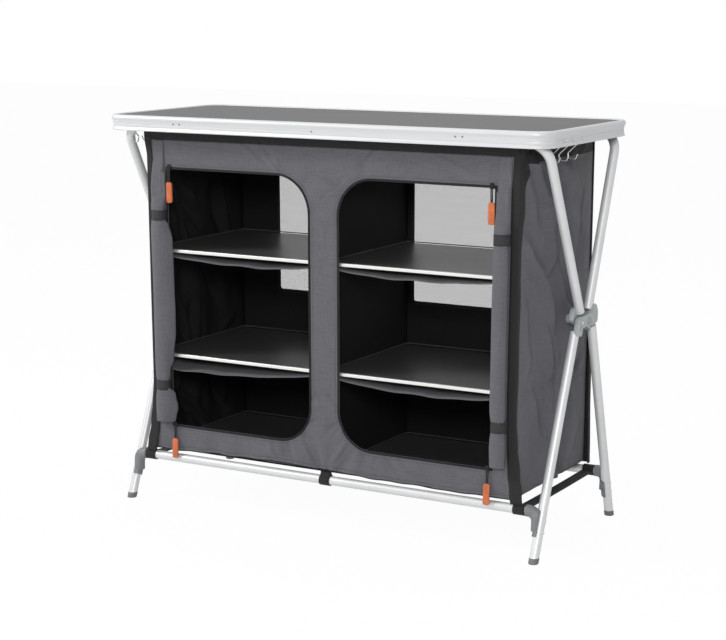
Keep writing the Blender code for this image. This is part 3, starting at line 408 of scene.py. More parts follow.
def cloth_grid(columns, rows, surface, outward):
    """A sheet of cloth: one grid, each crossing laid by surface(column, row)."""
    shape = bmesh.new()
    across = len(columns) - 1
    up = len(rows) - 1
    bmesh.ops.create_grid(shape, x_segments=across, y_segments=up, size=1.0)
    for vert in shape.verts:
        column = round((vert.co.x + 1) / 2 * across)
        row = round((vert.co.y + 1) / 2 * up)
        vert.co = surface(columns[column], rows[row])
    shape.normal_update()
    facing = sum((face.normal.dot(outward(face.calc_center_median())) for face in shape.faces))
    if facing < 0:
        bmesh.ops.reverse_faces(shape, faces=shape.faces)
    return shape


def open_sheet(shape, gap, cell):
    """Cut an opening where gap(place) is below zero, with its edge drawn to the outline."""
    inside = [face for face in shape.faces if gap(face.calc_center_median()) < 0]
    bmesh.ops.delete(shape, geom=inside, context="FACES")
    step = cell / 8
    for vert in shape.verts:
        if not vert.is_boundary or abs(gap(vert.co)) > cell:
            continue
        for _ in range(3):
            short = gap(vert.co)
            side = Vector((step, 0, 0))
            rise = Vector((0, 0, step))
            slope = Vector(((gap(vert.co + side) - gap(vert.co - side)) / (2 * step), 0,
                            (gap(vert.co + rise) - gap(vert.co - rise)) / (2 * step)))
            if slope.length > 0.1:
                vert.co -= slope.normalized() * short


def add_thickness(piece, thickness, inner=0, offset=-1):
    """Give a sheet its thickness; inner is how far on the inside's finish is."""
    wall = piece.modifiers.new("thickness", "SOLIDIFY")
    wall.thickness = thickness
    wall.offset = offset
    wall.material_offset = inner
    wall.use_even_offset = True


def squash_inner(piece):
    """Give a piece of the inner cabinet its own copy of its mesh."""
    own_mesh(piece)


def new_block(size):
    """A block of a size, round the origin."""
    shape = bmesh.new()
    bmesh.ops.create_cube(shape, size=1.0)
    bmesh.ops.scale(shape, vec=size, verts=shape.verts)
    return shape


def round_edges(shape, edges, radius, segments):
    """Round some edges of a shape."""
    bmesh.ops.bevel(shape, geom=edges, offset=radius, segments=segments, profile=0.5,
                    affect="EDGES", material=-1)


def of_kind(kind, items):
    """The vertices or the edges among what an operator gives back."""
    return [item for item in items if isinstance(item, kind)]


def rounded_gap(place, middle, half, corners):
    """How far (x, z) is outside a rectangle whose left and right corners are rounded."""
    off = (place[0] - middle[0], place[1] - middle[1])
    radius = corners[0] if off[0] < 0 else corners[1]
    reach = (abs(off[0]) - half[0] + radius, abs(off[1]) - half[1] + radius)
    outside = math.hypot(max(reach[0], 0.0), max(reach[1], 0.0))
    return min(max(reach), 0.0) + outside - radius


def doorway_gap(place):
    """How far a point of the front wall is outside the nearer doorway."""
    middle = ((DOOR_INNER + DOOR_OUTER) / 2, (DOOR_BOTTOM + DOOR_TOP) / 2)
    half = ((DOOR_OUTER - DOOR_INNER) / 2, (DOOR_TOP - DOOR_BOTTOM) / 2)
    return rounded_gap((abs(place[0]), place[2]), middle, half, (DOOR_CORNER, 0.004))


def window_gap(place):
    """How far a point of the back wall is outside the nearer window."""
    middle = ((WINDOW_INNER + WINDOW_OUTER) / 2, (WINDOW_BOTTOM + WINDOW_TOP) / 2)
    half = ((WINDOW_OUTER - WINDOW_INNER) / 2, (WINDOW_TOP - WINDOW_BOTTOM) / 2)
    return rounded_gap((abs(place[0]), place[2]), middle, half, (WINDOW_CORNER, WINDOW_CORNER))


def depth_share(y):
    """How far back in the cabinet a place is, from 0 at its front to 1."""
    return (y - INSIDE_FRONT) / (INSIDE_BACK - INSIDE_FRONT)


def corner_arc(middle, radius, start, end, steps):
    """Points on an arc, angles in degrees."""
    turns = [math.radians(start + (end - start) * step / steps) for step in range(steps + 1)]
    return [(middle[0] + radius * math.cos(turn), middle[1] + radius * math.sin(turn))
            for turn in turns]


def doorway_loop(side, grow):
    """The doorway's outline, grown outward: square outside, round inside."""
    outer = DOOR_OUTER + grow
    inner = DOOR_INNER - grow
    low = DOOR_BOTTOM - grow
    high = DOOR_TOP + grow
    radius = DOOR_CORNER + grow
    points = [(outer, z) for z in spread(low, high, 60)]
    points += [(x, high) for x in spread(outer, inner + radius, 24)[1:-1]]
    points += corner_arc((inner + radius, high - radius), radius, 90, 180, 20)
    points += [(inner, z) for z in spread(high - radius, low + radius, 44)[1:-1]]
    points += corner_arc((inner + radius, low + radius), radius, 180, 270, 20)
    points += [(x, low) for x in spread(inner + radius, outer, 24)[1:-1]]
    return [(side * x, z) for x, z in points]


def bend(corners, radius, steps):
    """A route through corners, each inner one rounded with an arc."""
    corners = [Vector(corner) for corner in corners]
    route = [corners[0]]
    for before, corner, after in zip(corners, corners[1:], corners[2:]):
        back = (before - corner).normalized()
        ahead = (after - corner).normalized()
        half = back.angle(ahead) / 2
        middle = corner + (back + ahead).normalized() * radius / math.sin(half)
        first = corner + back * radius / math.tan(half) - middle
        last = corner + ahead * radius / math.tan(half) - middle
        sweep = first.angle(last)
        for step in range(steps + 1):
            share = step / steps
            arm = first * math.sin(sweep * (1 - share)) + last * math.sin(sweep * share)
            route.append(middle + arm / math.sin(sweep))
    route.append(corners[-1])
    return route


def round_mesh(name, route, radius, resolution, closed=False):
    """The mesh of a round rod along a route, from a bevelled curve."""
    curve = bpy.data.curves.new(name, "CURVE")
    curve.dimensions = "3D"
    curve.twist_mode = "MINIMUM"
    spline = curve.splines.new("POLY")
    spline.points.add(len(route) - 1)
    for point, place in zip(spline.points, route):
        point.co = (*place, 1.0)
    spline.use_cyclic_u = closed
    curve.bevel_depth = radius
    curve.bevel_resolution = resolution
    curve.use_fill_caps = not closed
    rod = bpy.data.objects.new(name + "_curve", curve)
    bpy.context.scene.collection.objects.link(rod)
    bpy.context.view_layer.update()
    graph = bpy.context.evaluated_depsgraph_get()
    mesh = bpy.data.meshes.new_from_object(rod.evaluated_get(graph))
    mesh.name = name
    bpy.data.objects.remove(rod, do_unlink=True)
    shape = bmesh.new()
    shape.from_mesh(mesh)
    bmesh.ops.remove_doubles(shape, verts=shape.verts, dist=0.00001)
    bmesh.ops.recalc_face_normals(shape, faces=shape.faces)
    shape.to_mesh(mesh)
    shape.free()
    return mesh


def add_rod(name, route, radius, finish, body, resolution, closed=False):
    """A round rod, cord or wire along a route."""
    mesh = round_mesh(name, route, radius, resolution, closed)
    return finish_mesh(name, mesh, [finish], body)


def add_ribbon(name, route, width, finish, body, thickness):
    """A flat strap along a route; width is the way across it, as long as it is wide."""
    route = [Vector(point) for point in route]
    width = Vector(width)

    def surface(share, number):
        return route[int(number)] + width * share

    shape = cloth_grid(spread(-0.5, 0.5, 4), range(len(route)), surface,
                       lambda place: Vector((0, 0, 0)))
    piece = finish_piece(name, shape, [finish], body)
    add_thickness(piece, thickness, offset=0)
    return piece


def add_rivet(shape, place, direction, radius, height):
    """Add a low dome to a shape, on a surface that faces direction."""
    turn = Vector(direction).to_track_quat("Z", "X").to_matrix().to_4x4()
    flatten = Matrix.Diagonal((1.0, 1.0, height / radius, 1.0))
    bmesh.ops.create_uvsphere(shape, u_segments=16, v_segments=8, radius=radius,
                              matrix=Matrix.Translation(place) @ turn @ flatten)


def add_stitches(name, points, body, proud):
    """A row of stitches along points, each a short thread lying on the cloth.

    proud is the way out of the cloth, as long as a stitch stands off it."""
    shape = bmesh.new()
    waiting = 0.0
    for start, end in zip(points, points[1:]):
        start = Vector(start)
        end = Vector(end)
        length = (end - start).length
        if length < 1e-6:
            continue
        turn = (end - start).to_track_quat("Z", "X").to_matrix().to_4x4()
        while waiting <= length:
            place = start.lerp(end, waiting / length) + Vector(proud)
            bmesh.ops.create_cone(shape, cap_ends=True, segments=6, radius1=0.00042,
                                  radius2=0.00042, depth=STITCH_PITCH * 0.62,
                                  matrix=Matrix.Translation(place) @ turn)
            waiting += STITCH_PITCH
        waiting -= length
    return finish_piece(name, shape, [THREAD_GREY], body)


# Frame

def leg_run(front):
    """The offsets to the hub axis of one frame's tube ends: upper end, bar, lower end, foot."""
    if front:
        return ((-0.0189, 0.0183), (FRONT_BAR_Y - HUB_Y, TOP_BAR_HEIGHT - HUB_HEIGHT),
                (0.0424, -0.0175), (0.1725, -HUB_HEIGHT))
    return ((0.0214, 0.0183), (REAR_BAR_Y - HUB_Y, TOP_BAR_HEIGHT - HUB_HEIGHT),
            (-0.0413, -0.0180), (-0.2155, -HUB_HEIGHT))


def tube_place(side, offset):
    """A point of one side's tubes from its offset to the hub axis."""
    return Vector((side * LEG_X, HUB_Y + offset[0], HUB_HEIGHT + offset[1]))


def add_tube(name, node, route, body):
    """A painted tube along a route, in a node's place."""
    tube = add_rod(name, route, TUBE_RADIUS, TUBE_PAINT, body, 8)
    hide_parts(node)


def add_upper_tube(word, front, body):
    """The bent upper tube of one frame: two legs and a top bar."""
    end, bar = leg_run(front)[:2]
    corners = [tube_place(-1, end), tube_place(-1, bar), tube_place(1, bar), tube_place(1, end)]
    add_tube(f"{word}_upper_tube_painted", f"{word}_upper_tube_frame",
             bend(corners, TUBE_BEND, 14), body)


def add_lower_tubes(front, body):
    """The two straight lower legs of one frame, and the bottom bar between them."""
    lower_end, foot = leg_run(front)[2:]
    word = "rear" if front else "front"
    for side_word, side in SIDES.items():
        top = tube_place(side, lower_end)
        ground = tube_place(side, foot)
        bottom = ground + (top - ground).normalized() * 0.0082
        node = f"{word}_lower_tube_{side_word}"
        add_tube(node + "_painted", node, [bottom, top], body)
    y = REAR_BASE_Y if front else FRONT_BASE_Y
    ends = [(-BASE_BAR_HALF, y, BASE_BAR_HEIGHT), (BASE_BAR_HALF, y, BASE_BAR_HEIGHT)]
    add_tube(f"{word}_bottom_bar_painted", f"{word}_bottom_bar", ends, body)


def add_frame_rivets():
    """Rivet heads on the elbows and the hub plates' sockets."""
    for word, front, body, socket_y, out in (
            ("front", False, "rear_frame", -0.0330, 0.0130),
            ("rear", True, "front_frame", 0.0330, 0.0)):
        lower_end, foot = leg_run(front)[2:]
        shape = bmesh.new()
        for side in SIDES.values():
            for height in (0.058, 0.078):
                share = (lower_end[1] - (height - HUB_HEIGHT)) / (lower_end[1] - foot[1])
                y = lower_end[0] + (foot[0] - lower_end[0]) * share
                place = tube_place(side, (y, height - HUB_HEIGHT))
                place.x += side * TUBE_RADIUS
                add_rivet(shape, place, (side, 0, 0), 0.0036, 0.0016)
            place = tube_place(side, (socket_y, 0.0))
            place.x += side * out
            add_rivet(shape, place, (side, 0, 0), 0.0034, 0.0014)
        finish_piece(f"{word}_leg_rivets", shape, [RIVET_METAL], body)


def plate_outline(front):
    """The side view of one frame's hub plate, as offsets to the hub axis: an arm to the
    lower tube, and a wing that rises behind the upper tube."""
    arm = [(-0.0510, -0.0245), (-0.0525, -0.0100), (-0.0450, 0.0070), (-0.0400, 0.0106),
           (-0.0120, 0.0115), (0.0060, 0.0125)]
    wing = [(0.0165, 0.0165), (0.0225, 0.0280), (0.0305, 0.0298), (0.0385, 0.0262),
            (0.0450, 0.0140)]
    if front:
        under = [(0.0430, 0.0040), (0.0300, -0.0050), (0.0120, -0.0112)]
    else:
        under = [(0.0447, -0.0075), (0.0360, -0.0112), (0.0267, -0.0120)]
    base = [(-0.0106, -0.0112), (-0.0290, -0.0125), (-0.0345, -0.0270)]
    way = -1 if front else 1
    return [(way * y, z) for y, z in arm + wing + under + base]


def add_hub_plates():
    """The moulded plates that join the tubes at the hubs: the rear frame's outside, the
    front frame's inside."""
    for front, body, depth in ((False, "rear_frame", (0.4872, 0.4982)),
                               (True, "front_frame", (0.4728, 0.4826))):
        name = "front" if front else "rear"
        for word, side in SIDES.items():
            shape = bmesh.new()
            outline = [shape.verts.new((side * depth[0], HUB_Y + y, HUB_HEIGHT + z))
                       for y, z in plate_outline(front)]
            face = shape.faces.new(outline)
            grown = bmesh.ops.extrude_face_region(shape, geom=[face])
            bmesh.ops.translate(shape, verts=of_kind(bmesh.types.BMVert, grown["geom"]),
                                vec=(side * (depth[1] - depth[0]), 0, 0))
            bmesh.ops.recalc_face_normals(shape, faces=shape.faces)
            round_edges(shape, shape.edges[:], 0.0016, 3)
            add_rivet(shape, (side * depth[1], HUB_Y, HUB_HEIGHT), (side, 0, 0), 0.0150, 0.0010)
            plate = finish_piece(f"hub_plate_{name}_{word}_moulded", shape, [HUB_GREY], body,
                                 35)
            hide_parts(f"hub_plate_{name}_{word}")


def add_foot_caps():
    """The slim caps on the four feet, cut level with the ground."""
    for front, body in ((False, "rear_frame"), (True, "front_frame")):
        name = "rear" if front else "front"
        lower_end, foot = leg_run(front)[2:]
        for word, side in SIDES.items():
            ground = tube_place(side, foot)
            leg = tube_place(side, lower_end) - ground
            rise = leg / leg.z
            radii = [(0.0, 0.0080), (0.0, 0.0094), (0.0008, 0.0101), (0.0098, 0.0102),
                     (0.0110, 0.0100), (0.0114, 0.0094)]

            def surface(number, turn):
                height, radius = radii[int(number)]
                place = ground + rise * height
                return Vector((place.x + radius * math.cos(turn),
                               place.y + radius * math.sin(turn) * 1.05, height))

            shape = cloth_grid(range(len(radii)), spread(0, 2 * math.pi, 32), surface,
                               lambda place: Vector((place.x - ground.x,
                                                     place.y - ground.y, 0)))
            bmesh.ops.remove_doubles(shape, verts=shape.verts, dist=0.00001)
            bmesh.ops.holes_fill(shape, edges=shape.edges, sides=64)
            bmesh.ops.recalc_face_normals(shape, faces=shape.faces)
            cap = finish_piece(f"foot_cap_{name}_{word}", shape, [FOOT_GREY], body,
                               40)
            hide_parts(f"foot_{name}_{word}")


# Worktop

def rim_section():
    """The rim's section: (distance in from the outer face, height above the worktop's top)."""
    return [
        (0.0030, -0.0320), (0.0014, -0.0316), (0.0010, -0.0308), (0.0010, -0.0296),
        (0.0014, -0.0288), (0.0024, -0.0266), (0.0029, -0.0250), (0.0033, -0.0245),
        (0.0030, -0.0240), (0.0032, -0.0205), (0.0032, -0.0190), (0.0036, -0.0185),
        (0.0031, -0.0180), (0.0028, -0.0145), (0.0021, -0.0118), (0.0012, -0.0104),
        (0.0003, -0.0086), (0.0000, -0.0068), (0.0003, -0.0048), (0.0010, -0.0028),
        (0.0024, -0.0012), (0.0042, -0.0003), (0.0070, 0.0000), (0.0100, -0.0004),
        (0.0115, -0.0010), (0.0120, -0.0018), (0.0120, -0.0083), (0.0220, -0.0083),
        (0.0220, -0.0101), (0.0072, -0.0101), (0.0072, -0.0260), (0.0060, -0.0320),
    ]


def add_rim():
    """The aluminium rim: its section drawn along each side and turned round each corner."""
    shape = bmesh.new()
    middle_y = (TABLE_FRONT + TABLE_BACK) / 2
    verts = [shape.verts.new((0.0, TABLE_FRONT + inset, TABLE_TOP + height))
             for inset, height in rim_section()]
    section = [shape.edges.new(pair) for pair in zip(verts, verts[1:] + verts[:1])]
    straight_x = TABLE_HALF - TABLE_CORNER
    straight_y = (TABLE_BACK - TABLE_FRONT) / 2 - TABLE_CORNER
    runs = [Vector((straight_x, 0, 0)), Vector((0, 2 * straight_y, 0)),
            Vector((-2 * straight_x, 0, 0)), Vector((0, -2 * straight_y, 0)),
            Vector((straight_x, 0, 0))]
    corners = [(straight_x, -straight_y), (straight_x, straight_y),
               (-straight_x, straight_y), (-straight_x, -straight_y)]
    for number, run in enumerate(runs):
        drawn = bmesh.ops.extrude_edge_only(shape, edges=section)
        section = of_kind(bmesh.types.BMEdge, drawn["geom"])
        bmesh.ops.translate(shape, vec=run, verts=of_kind(bmesh.types.BMVert, drawn["geom"]))
        if number == len(corners):
            break
        x, y = corners[number]
        turned = bmesh.ops.spin(shape, geom=section, cent=(x, middle_y + y, 0),
                                axis=(0, 0, 1), angle=math.pi / 2, steps=14)
        section = of_kind(bmesh.types.BMEdge, turned["geom_last"])
    bmesh.ops.remove_doubles(shape, verts=shape.verts, dist=0.00002)
    bmesh.ops.recalc_face_normals(shape, faces=shape.faces)
    rim = finish_piece("rim_drawn", shape, [RIM_METAL], "table", 38)
    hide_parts("tabletop_rim")


def add_rim_rivets():
    """Flush rivets in the rim's front and back."""
    shape = bmesh.new()
    for y, way in ((TABLE_FRONT + RIVET_INSET, -1), (TABLE_BACK - RIVET_INSET, 1)):
        for x in (-0.331, -0.316, 0.316, 0.331):
            add_rivet(shape, (x, y, TABLE_TOP - 0.0145), (0, way, 0), 0.0030, 0.0013)
        add_rivet(shape, (0.0, y, TABLE_TOP - 0.0175), (0, way, 0), 0.0024, 0.0010)
    finish_piece("rim_rivets", shape, [RIM_RIVET], "table")


def add_hooks():
    """Six plated wire hooks in the rim's ends, each with a ball at both its ends."""
    bends = [(0.0040, 0.0), (-0.0060, 0.0), (-0.0070, -0.0105), (-0.0265, -0.0288),
             (-0.0245, -0.0400), (-0.0105, -0.0400), (-0.0070, -0.0320)]
    for word, side in SIDES.items():
        for number, y in enumerate(HOOK_PLACES, 1):
            hole = Vector((side * HOOK_HOLE_X, y, HOOK_HOLE_HEIGHT))
            corners = [hole + Vector((side * out, 0, rise)) for out, rise in bends]
            route = [corners[0]] + bend(corners[1:], 0.0042, 7)
            mesh = round_mesh(f"hook_{word}_{number}_wire", route, 0.00125, 3)
            shape = bmesh.new()
            shape.from_mesh(mesh)
            for end, radius in ((corners[0], 0.0021), (corners[-1], 0.0017)):
                bmesh.ops.create_uvsphere(shape, u_segments=12, v_segments=8, radius=radius,
                                          matrix=Matrix.Translation(end))
            hook = finish_piece(f"hook_{word}_{number}_plated", shape, [HOOK_WIRE],
                                f"hook_{word}_{number}_body")
            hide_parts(f"hook_{word}_{number}")


# Cloth walls

def doorway_creases(x, z):
    """Creases that fan out of a doorway's two round corners."""
    total = 0.0
    phase = 0.9 if x < 0 else 0.0
    for middle_z, way in ((DOOR_TOP - DOOR_CORNER, 1), (DOOR_BOTTOM + DOOR_CORNER, -1)):
        off_x = DOOR_INNER + DOOR_CORNER - abs(x)
        off_z = (z - middle_z) * way
        reach = math.hypot(off_x, off_z)
        turn = math.atan2(off_z, off_x)
        spread_out = smooth_step((turn + 0.5) / 0.5) * smooth_step((2.15 - turn) / 0.5)
        fade = hump(reach, DOOR_CORNER + 0.026, 0.034)
        ridge = math.cos(turn * 11.0 + phase + way * 0.7) + 0.6 * math.cos(turn * 19.0 + 2.0)
        total += ridge * fade * spread_out * (1.0 if way < 0 else 0.55)
    return total


# Sharp creases of the front wall: the two ends of each one's line
WALL_CREASES = [
    ((-0.064, 0.202), (-0.019, 0.126)),
    ((0.068, 0.197), (0.022, 0.136)),
    ((-0.028, 0.222), (0.013, 0.226)),
    ((-0.022, 0.283), (-0.006, 0.264)),
    ((0.009, 0.278), (0.035, 0.258)),
    ((0.037, 0.214), (0.018, 0.193)),
    ((0.119, 0.174), (0.178, 0.135)),
    ((0.150, 0.182), (0.214, 0.136)),
    ((-0.129, 0.164), (-0.115, 0.131)),
    ((-0.094, 0.173), (-0.080, 0.131)),
    ((-0.155, 0.791), (-0.108, 0.739)),
    ((-0.035, 0.732), (0.016, 0.719)),
    ((-0.204, 0.795), (-0.144, 0.751)),
    ((-0.002, 0.678), (0.051, 0.725)),
    ((0.240, 0.791), (0.326, 0.754)),
    ((0.074, 0.742), (0.112, 0.782)),
]

# Sharp creases of a side wall, as (y, z)
SIDE_CREASES = [
    ((-0.103, 0.768), (0.004, 0.633)),
    ((-0.116, 0.771), (-0.076, 0.703)),
    ((-0.059, 0.682), (-0.017, 0.570)),
    ((-0.137, 0.633), (-0.063, 0.556)),
    ((-0.008, 0.589), (0.074, 0.457)),
    ((0.109, 0.685), (0.134, 0.551)),
    ((-0.088, 0.318), (-0.070, 0.233)),
    ((-0.052, 0.436), (-0.023, 0.346)),
    ((0.008, 0.396), (0.000, 0.284)),
    ((0.108, 0.337), (0.148, 0.357)),
    ((-0.135, 0.508), (-0.115, 0.387)),
    ((-0.044, 0.211), (0.040, 0.129)),
    ((0.082, 0.268), (0.108, 0.178)),
]


def sharp_creases(lines, place, height, width):
    """The narrow creases along some lines: a valley with a ridge beside it."""
    total = 0.0
    for (start, low), (end, high) in lines:
        run, rise = end - start, high - low
        length = math.hypot(run, rise)
        along = ((place - start) * run + (height - low) * rise) / length ** 2
        across = ((place - start) * rise - (height - low) * run) / length
        across += 0.0012 * math.sin(along * 7.0 + start * 40.0)
        if -0.4 < along < 1.4 and abs(across) < 5 * width:
            fade = smooth_step((along + 0.35) / 0.45) * smooth_step((1.35 - along) / 0.45)
            total += fade * (0.8 * hump(across, 1.7 * width, 1.4 * width)
                             - hump(across, 0.0, width))
    return total


def front_depth(x, z):
    """How far the front wall stands out of its plane."""
    edge = smooth_step(doorway_gap((x, 0, z)) / 0.012)
    calm = smooth_step((0.384 - abs(x)) / 0.02)
    creases = 0.0019 * doorway_creases(x, z)
    pucker = 0.0008 * math.sin(x * 2 * math.pi / 0.037 + math.sin(x * 17.0))
    pucker *= hump(z, BAND_BOTTOM - 0.006, 0.016)
    fan = math.atan2(x, z - HEM + 0.02)
    pulled = 0.0022 * math.cos(fan * 10.0 + 0.6) * hump(z, HEM + 0.035, 0.05) * hump(x, 0, 0.13)
    lean = x * 2 * math.pi / 0.085 + 14.0 * (z - HEM) * (1.0 if x > 0 else -1.0)
    droop = 0.0019 * math.sin(lean + 0.8 * math.sin(x * 23.0)) * hump(z, HEM + 0.022, 0.026)
    top = 0.0015 * math.sin(x * 2 * math.pi / 0.12 + 20.0 * (0.78 - z)) * hump(z, 0.755, 0.024)
    column = 0.0016 * math.cos(z * 36.0 + x * 26.0) * hump(x, 0, 0.03)
    column *= 0.5 + 0.5 * math.sin(z * 9.0 + 1.0)
    cloudy = 0.0007 * math.sin(x * 31.0 + 3.0 * math.sin(z * 17.0))
    cloudy *= math.sin(z * 43.0 + x * 9.0)
    sharp = 0.0022 * sharp_creases(WALL_CREASES, x, z, 0.0030)
    total = creases + pulled + droop + top + column + cloudy + sharp
    divider = hump(x, 0, 0.005)
    total = total * (1 - divider) + max(total, 0.0) * divider
    return total * edge * calm + pucker * calm


def hem_height(x):
    """The front wall's lower edge: wavy, highest left of the middle, low at the ends."""
    return (0.1145 + 0.0072 * hump(x, -0.12, 0.20) + 0.0009 * math.sin(x * 38.0)
            + 0.0007 * math.sin(x * 91.0 + 1.0))


def straight_hem(x):
    """The back wall's lower edge."""
    return HEM - 0.0008 + 0.0006 * math.sin(x * 40.0)


def wall_surface(bar_y, face_y, way, depth, hem_line):
    """Where a wall of cloth runs: up its face, then round the top bar inside its sleeve.

    way is the way outward; depth is how far the face stands out of its plane."""
    sleeve = TUBE_RADIUS + BAR_CLEARANCE + CLOTH

    def surface(x, row):
        if row <= 1.0:
            hem = hem_line(x)
            z = hem + (FACE_TOP - hem) * row
            return Vector((x, face_y + way * depth(x, z), z))
        if row <= 2.0:
            share = row - 1.0
            z = FACE_TOP + (TOP_BAR_HEIGHT - FACE_TOP) * share
            out = bar_y + way * sleeve
            return Vector((x, face_y + (out - face_y) * smooth_step(share), z))
        turn = math.pi * (row - 2.0)
        return Vector((x, bar_y + way * sleeve * math.cos(turn),
                       TOP_BAR_HEIGHT + sleeve * math.sin(turn)))

    return surface


def finish_wall(name, shape, body, gap, cell, is_band):
    """Open a wall, blacken its bands, and give it its thickness and black lining."""
    open_sheet(shape, lambda place: gap(place) if place.z < OPENINGS_END else 1.0, cell)
    for face in shape.faces:
        if is_band(face.calc_center_median()):
            face.material_index = BAND_INDEX
    wall = finish_piece(name, shape, WALL_FINISHES, body, 70)
    add_thickness(wall, CANVAS_THICK, inner=1)
    return wall


def add_front_wall():
    """The front wall: two doorways, a black top band and bound hem, creases, and a sleeve
    on its bar."""
    surface = wall_surface(FRONT_BAR_Y, FRONT_FACE, -1, front_depth, hem_height)
    binding = 0.0024
    binding_row = 0.0036
    columns = spread(-CABINET_HALF, CABINET_HALF, 216)
    rows = sorted(spread(0.0, 1.0, 168) + [binding_row] + spread(1.0, 2.0, 8)[1:]
                  + spread(2.0, 3.15, 14)[1:])
    shape = cloth_grid(columns, rows, surface, lambda place: Vector((0, -1, 0)))
    wall = finish_wall("front_wall_canvas", shape, "front_cloth", doorway_gap, 0.004,
                       lambda place: place.z > BAND_BOTTOM
                       or place.z < hem_height(place.x) + binding)
    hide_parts("front_panel")
    return wall


def back_depth(x, z):
    """How far the back wall stands out of its plane."""
    edge = smooth_step(window_gap((x, 0, z)) / 0.02)
    folds = 0.0012 * math.sin(x * 21.0 + 0.4) * math.sin((z - HEM) * 4.2)
    seam = -0.0008 * hump(z, 0.400, 0.006)
    creases = 0.0005 * math.cos(z * 60.0 + x * 31.0) * hump(z, 0.41, 0.05)
    return (folds + seam + creases) * edge


def add_back_wall():
    """The back wall with its two windows and its sleeve on the rear bar."""
    surface = wall_surface(REAR_BAR_Y, REAR_FACE, 1, back_depth, straight_hem)
    columns = spread(-CABINET_HALF, CABINET_HALF, 172)
    rows = spread(0.0, 1.0, 134) + spread(1.0, 2.0, 6)[1:] + spread(2.0, 3.15, 12)[1:]
    shape = cloth_grid(columns, rows, surface, lambda place: Vector((0, 1, 0)))
    wall = finish_wall("back_wall_canvas", shape, "back_cloth", window_gap, 0.005,
                       lambda place: place.z > BAND_BOTTOM)
    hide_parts("back_panel")
    return wall


def on_front_wall(x, z, proud=0.0):
    """A place on the front wall's cloth, or a little in front of it."""
    return Vector((x, FRONT_FACE - front_depth(x, z) - proud, z))


def add_zip(word, side):
    """The zip round a doorway: a tape, and a coil of teeth near its edge."""
    lifts = {0.0: 0.0006, 0.0016: 0.0014, 0.0034: 0.0012, 0.0050: 0.0004}
    loops = {grow: doorway_loop(side, grow) for grow in lifts}

    def tape_surface(grow, number):
        return on_front_wall(*loops[grow][int(number)], lifts[grow])

    for loop in loops.values():
        loop.append(loop[0])
    shape = cloth_grid(sorted(loops), range(len(loops[0.0])), tape_surface,
                       lambda place: Vector((0, -1, 0)))
    bmesh.ops.remove_doubles(shape, verts=shape.verts, dist=0.00001)
    tape = finish_piece(f"zip_tape_{word}", shape, [ZIP_BLACK], "front_cloth")
    add_thickness(tape, 0.0007)
    coil_line = [on_front_wall(x, z, 0.0012) for x, z in doorway_loop(side, 0.0012)]
    add_rod(f"zip_coil_{word}", coil_line, 0.0008, ZIP_BLACK, "front_cloth",
            2, closed=True)


def side_depth(y, z, side):
    """How far a side wall stands out: tension folds from the top front corner, and
    upright folds between the shelf seams."""
    across = depth_share(y)
    edge = smooth_step(across / 0.13) * smooth_step((1 - across) / 0.24)
    sink = SEAM_SINK * (0.5 - across)
    seams = [HEM, SIDE_SEAMS["lower"] + sink, SIDE_SEAMS["upper"] + sink,
             TOP_BAR_HEIGHT - 0.012]
    swell = 0.0
    for low, high in zip(seams, seams[1:]):
        if low <= z <= high:
            swell = math.sin(math.pi * (z - low) / (high - low)) ** 0.6
    drop = TOP_BAR_HEIGHT - z
    angle = math.atan2(across * 0.353 + 0.004, drop + 0.015)
    rays = (0.5 + 0.5 * math.cos(angle * 23.0 - 1.6)) ** 1.3 * math.exp(-drop / 0.24)
    drift = 0.10 * math.sin(z * 9.0 + side) + 0.03 * math.sin(z * 31.0)
    upright = (0.5 + 0.5 * math.cos(2 * math.pi * (across * 2.9 + drift) + side * 0.5)) ** 2.2
    fine = 0.5 + 0.5 * math.cos(2 * math.pi * (across * 7.1 + 0.5 * math.sin(z * 14.0)))
    crossing = 0.5 + 0.5 * math.cos(2 * math.pi * (across * 3.0 - z * 9.0))
    seam = sum(hump(z, level, 0.012) for level in seams[1:3])
    pucker = 0.0016 * seam * math.sin(across * 44.0 + 2.0 * math.sin(across * 9.0))
    calm = min(1.0, 0.30 + drop / 0.25)
    stand = 0.0170 * swell * (0.12 + 0.88 * upright * calm) + 0.0150 * rays
    stand += (0.0034 * fine + 0.0028 * crossing) * (0.3 + 0.7 * swell)
    stand += 0.0125 * sharp_creases(SIDE_CREASES, y, z, 0.0080)
    return (max(stand, 0.0) + pucker) * edge


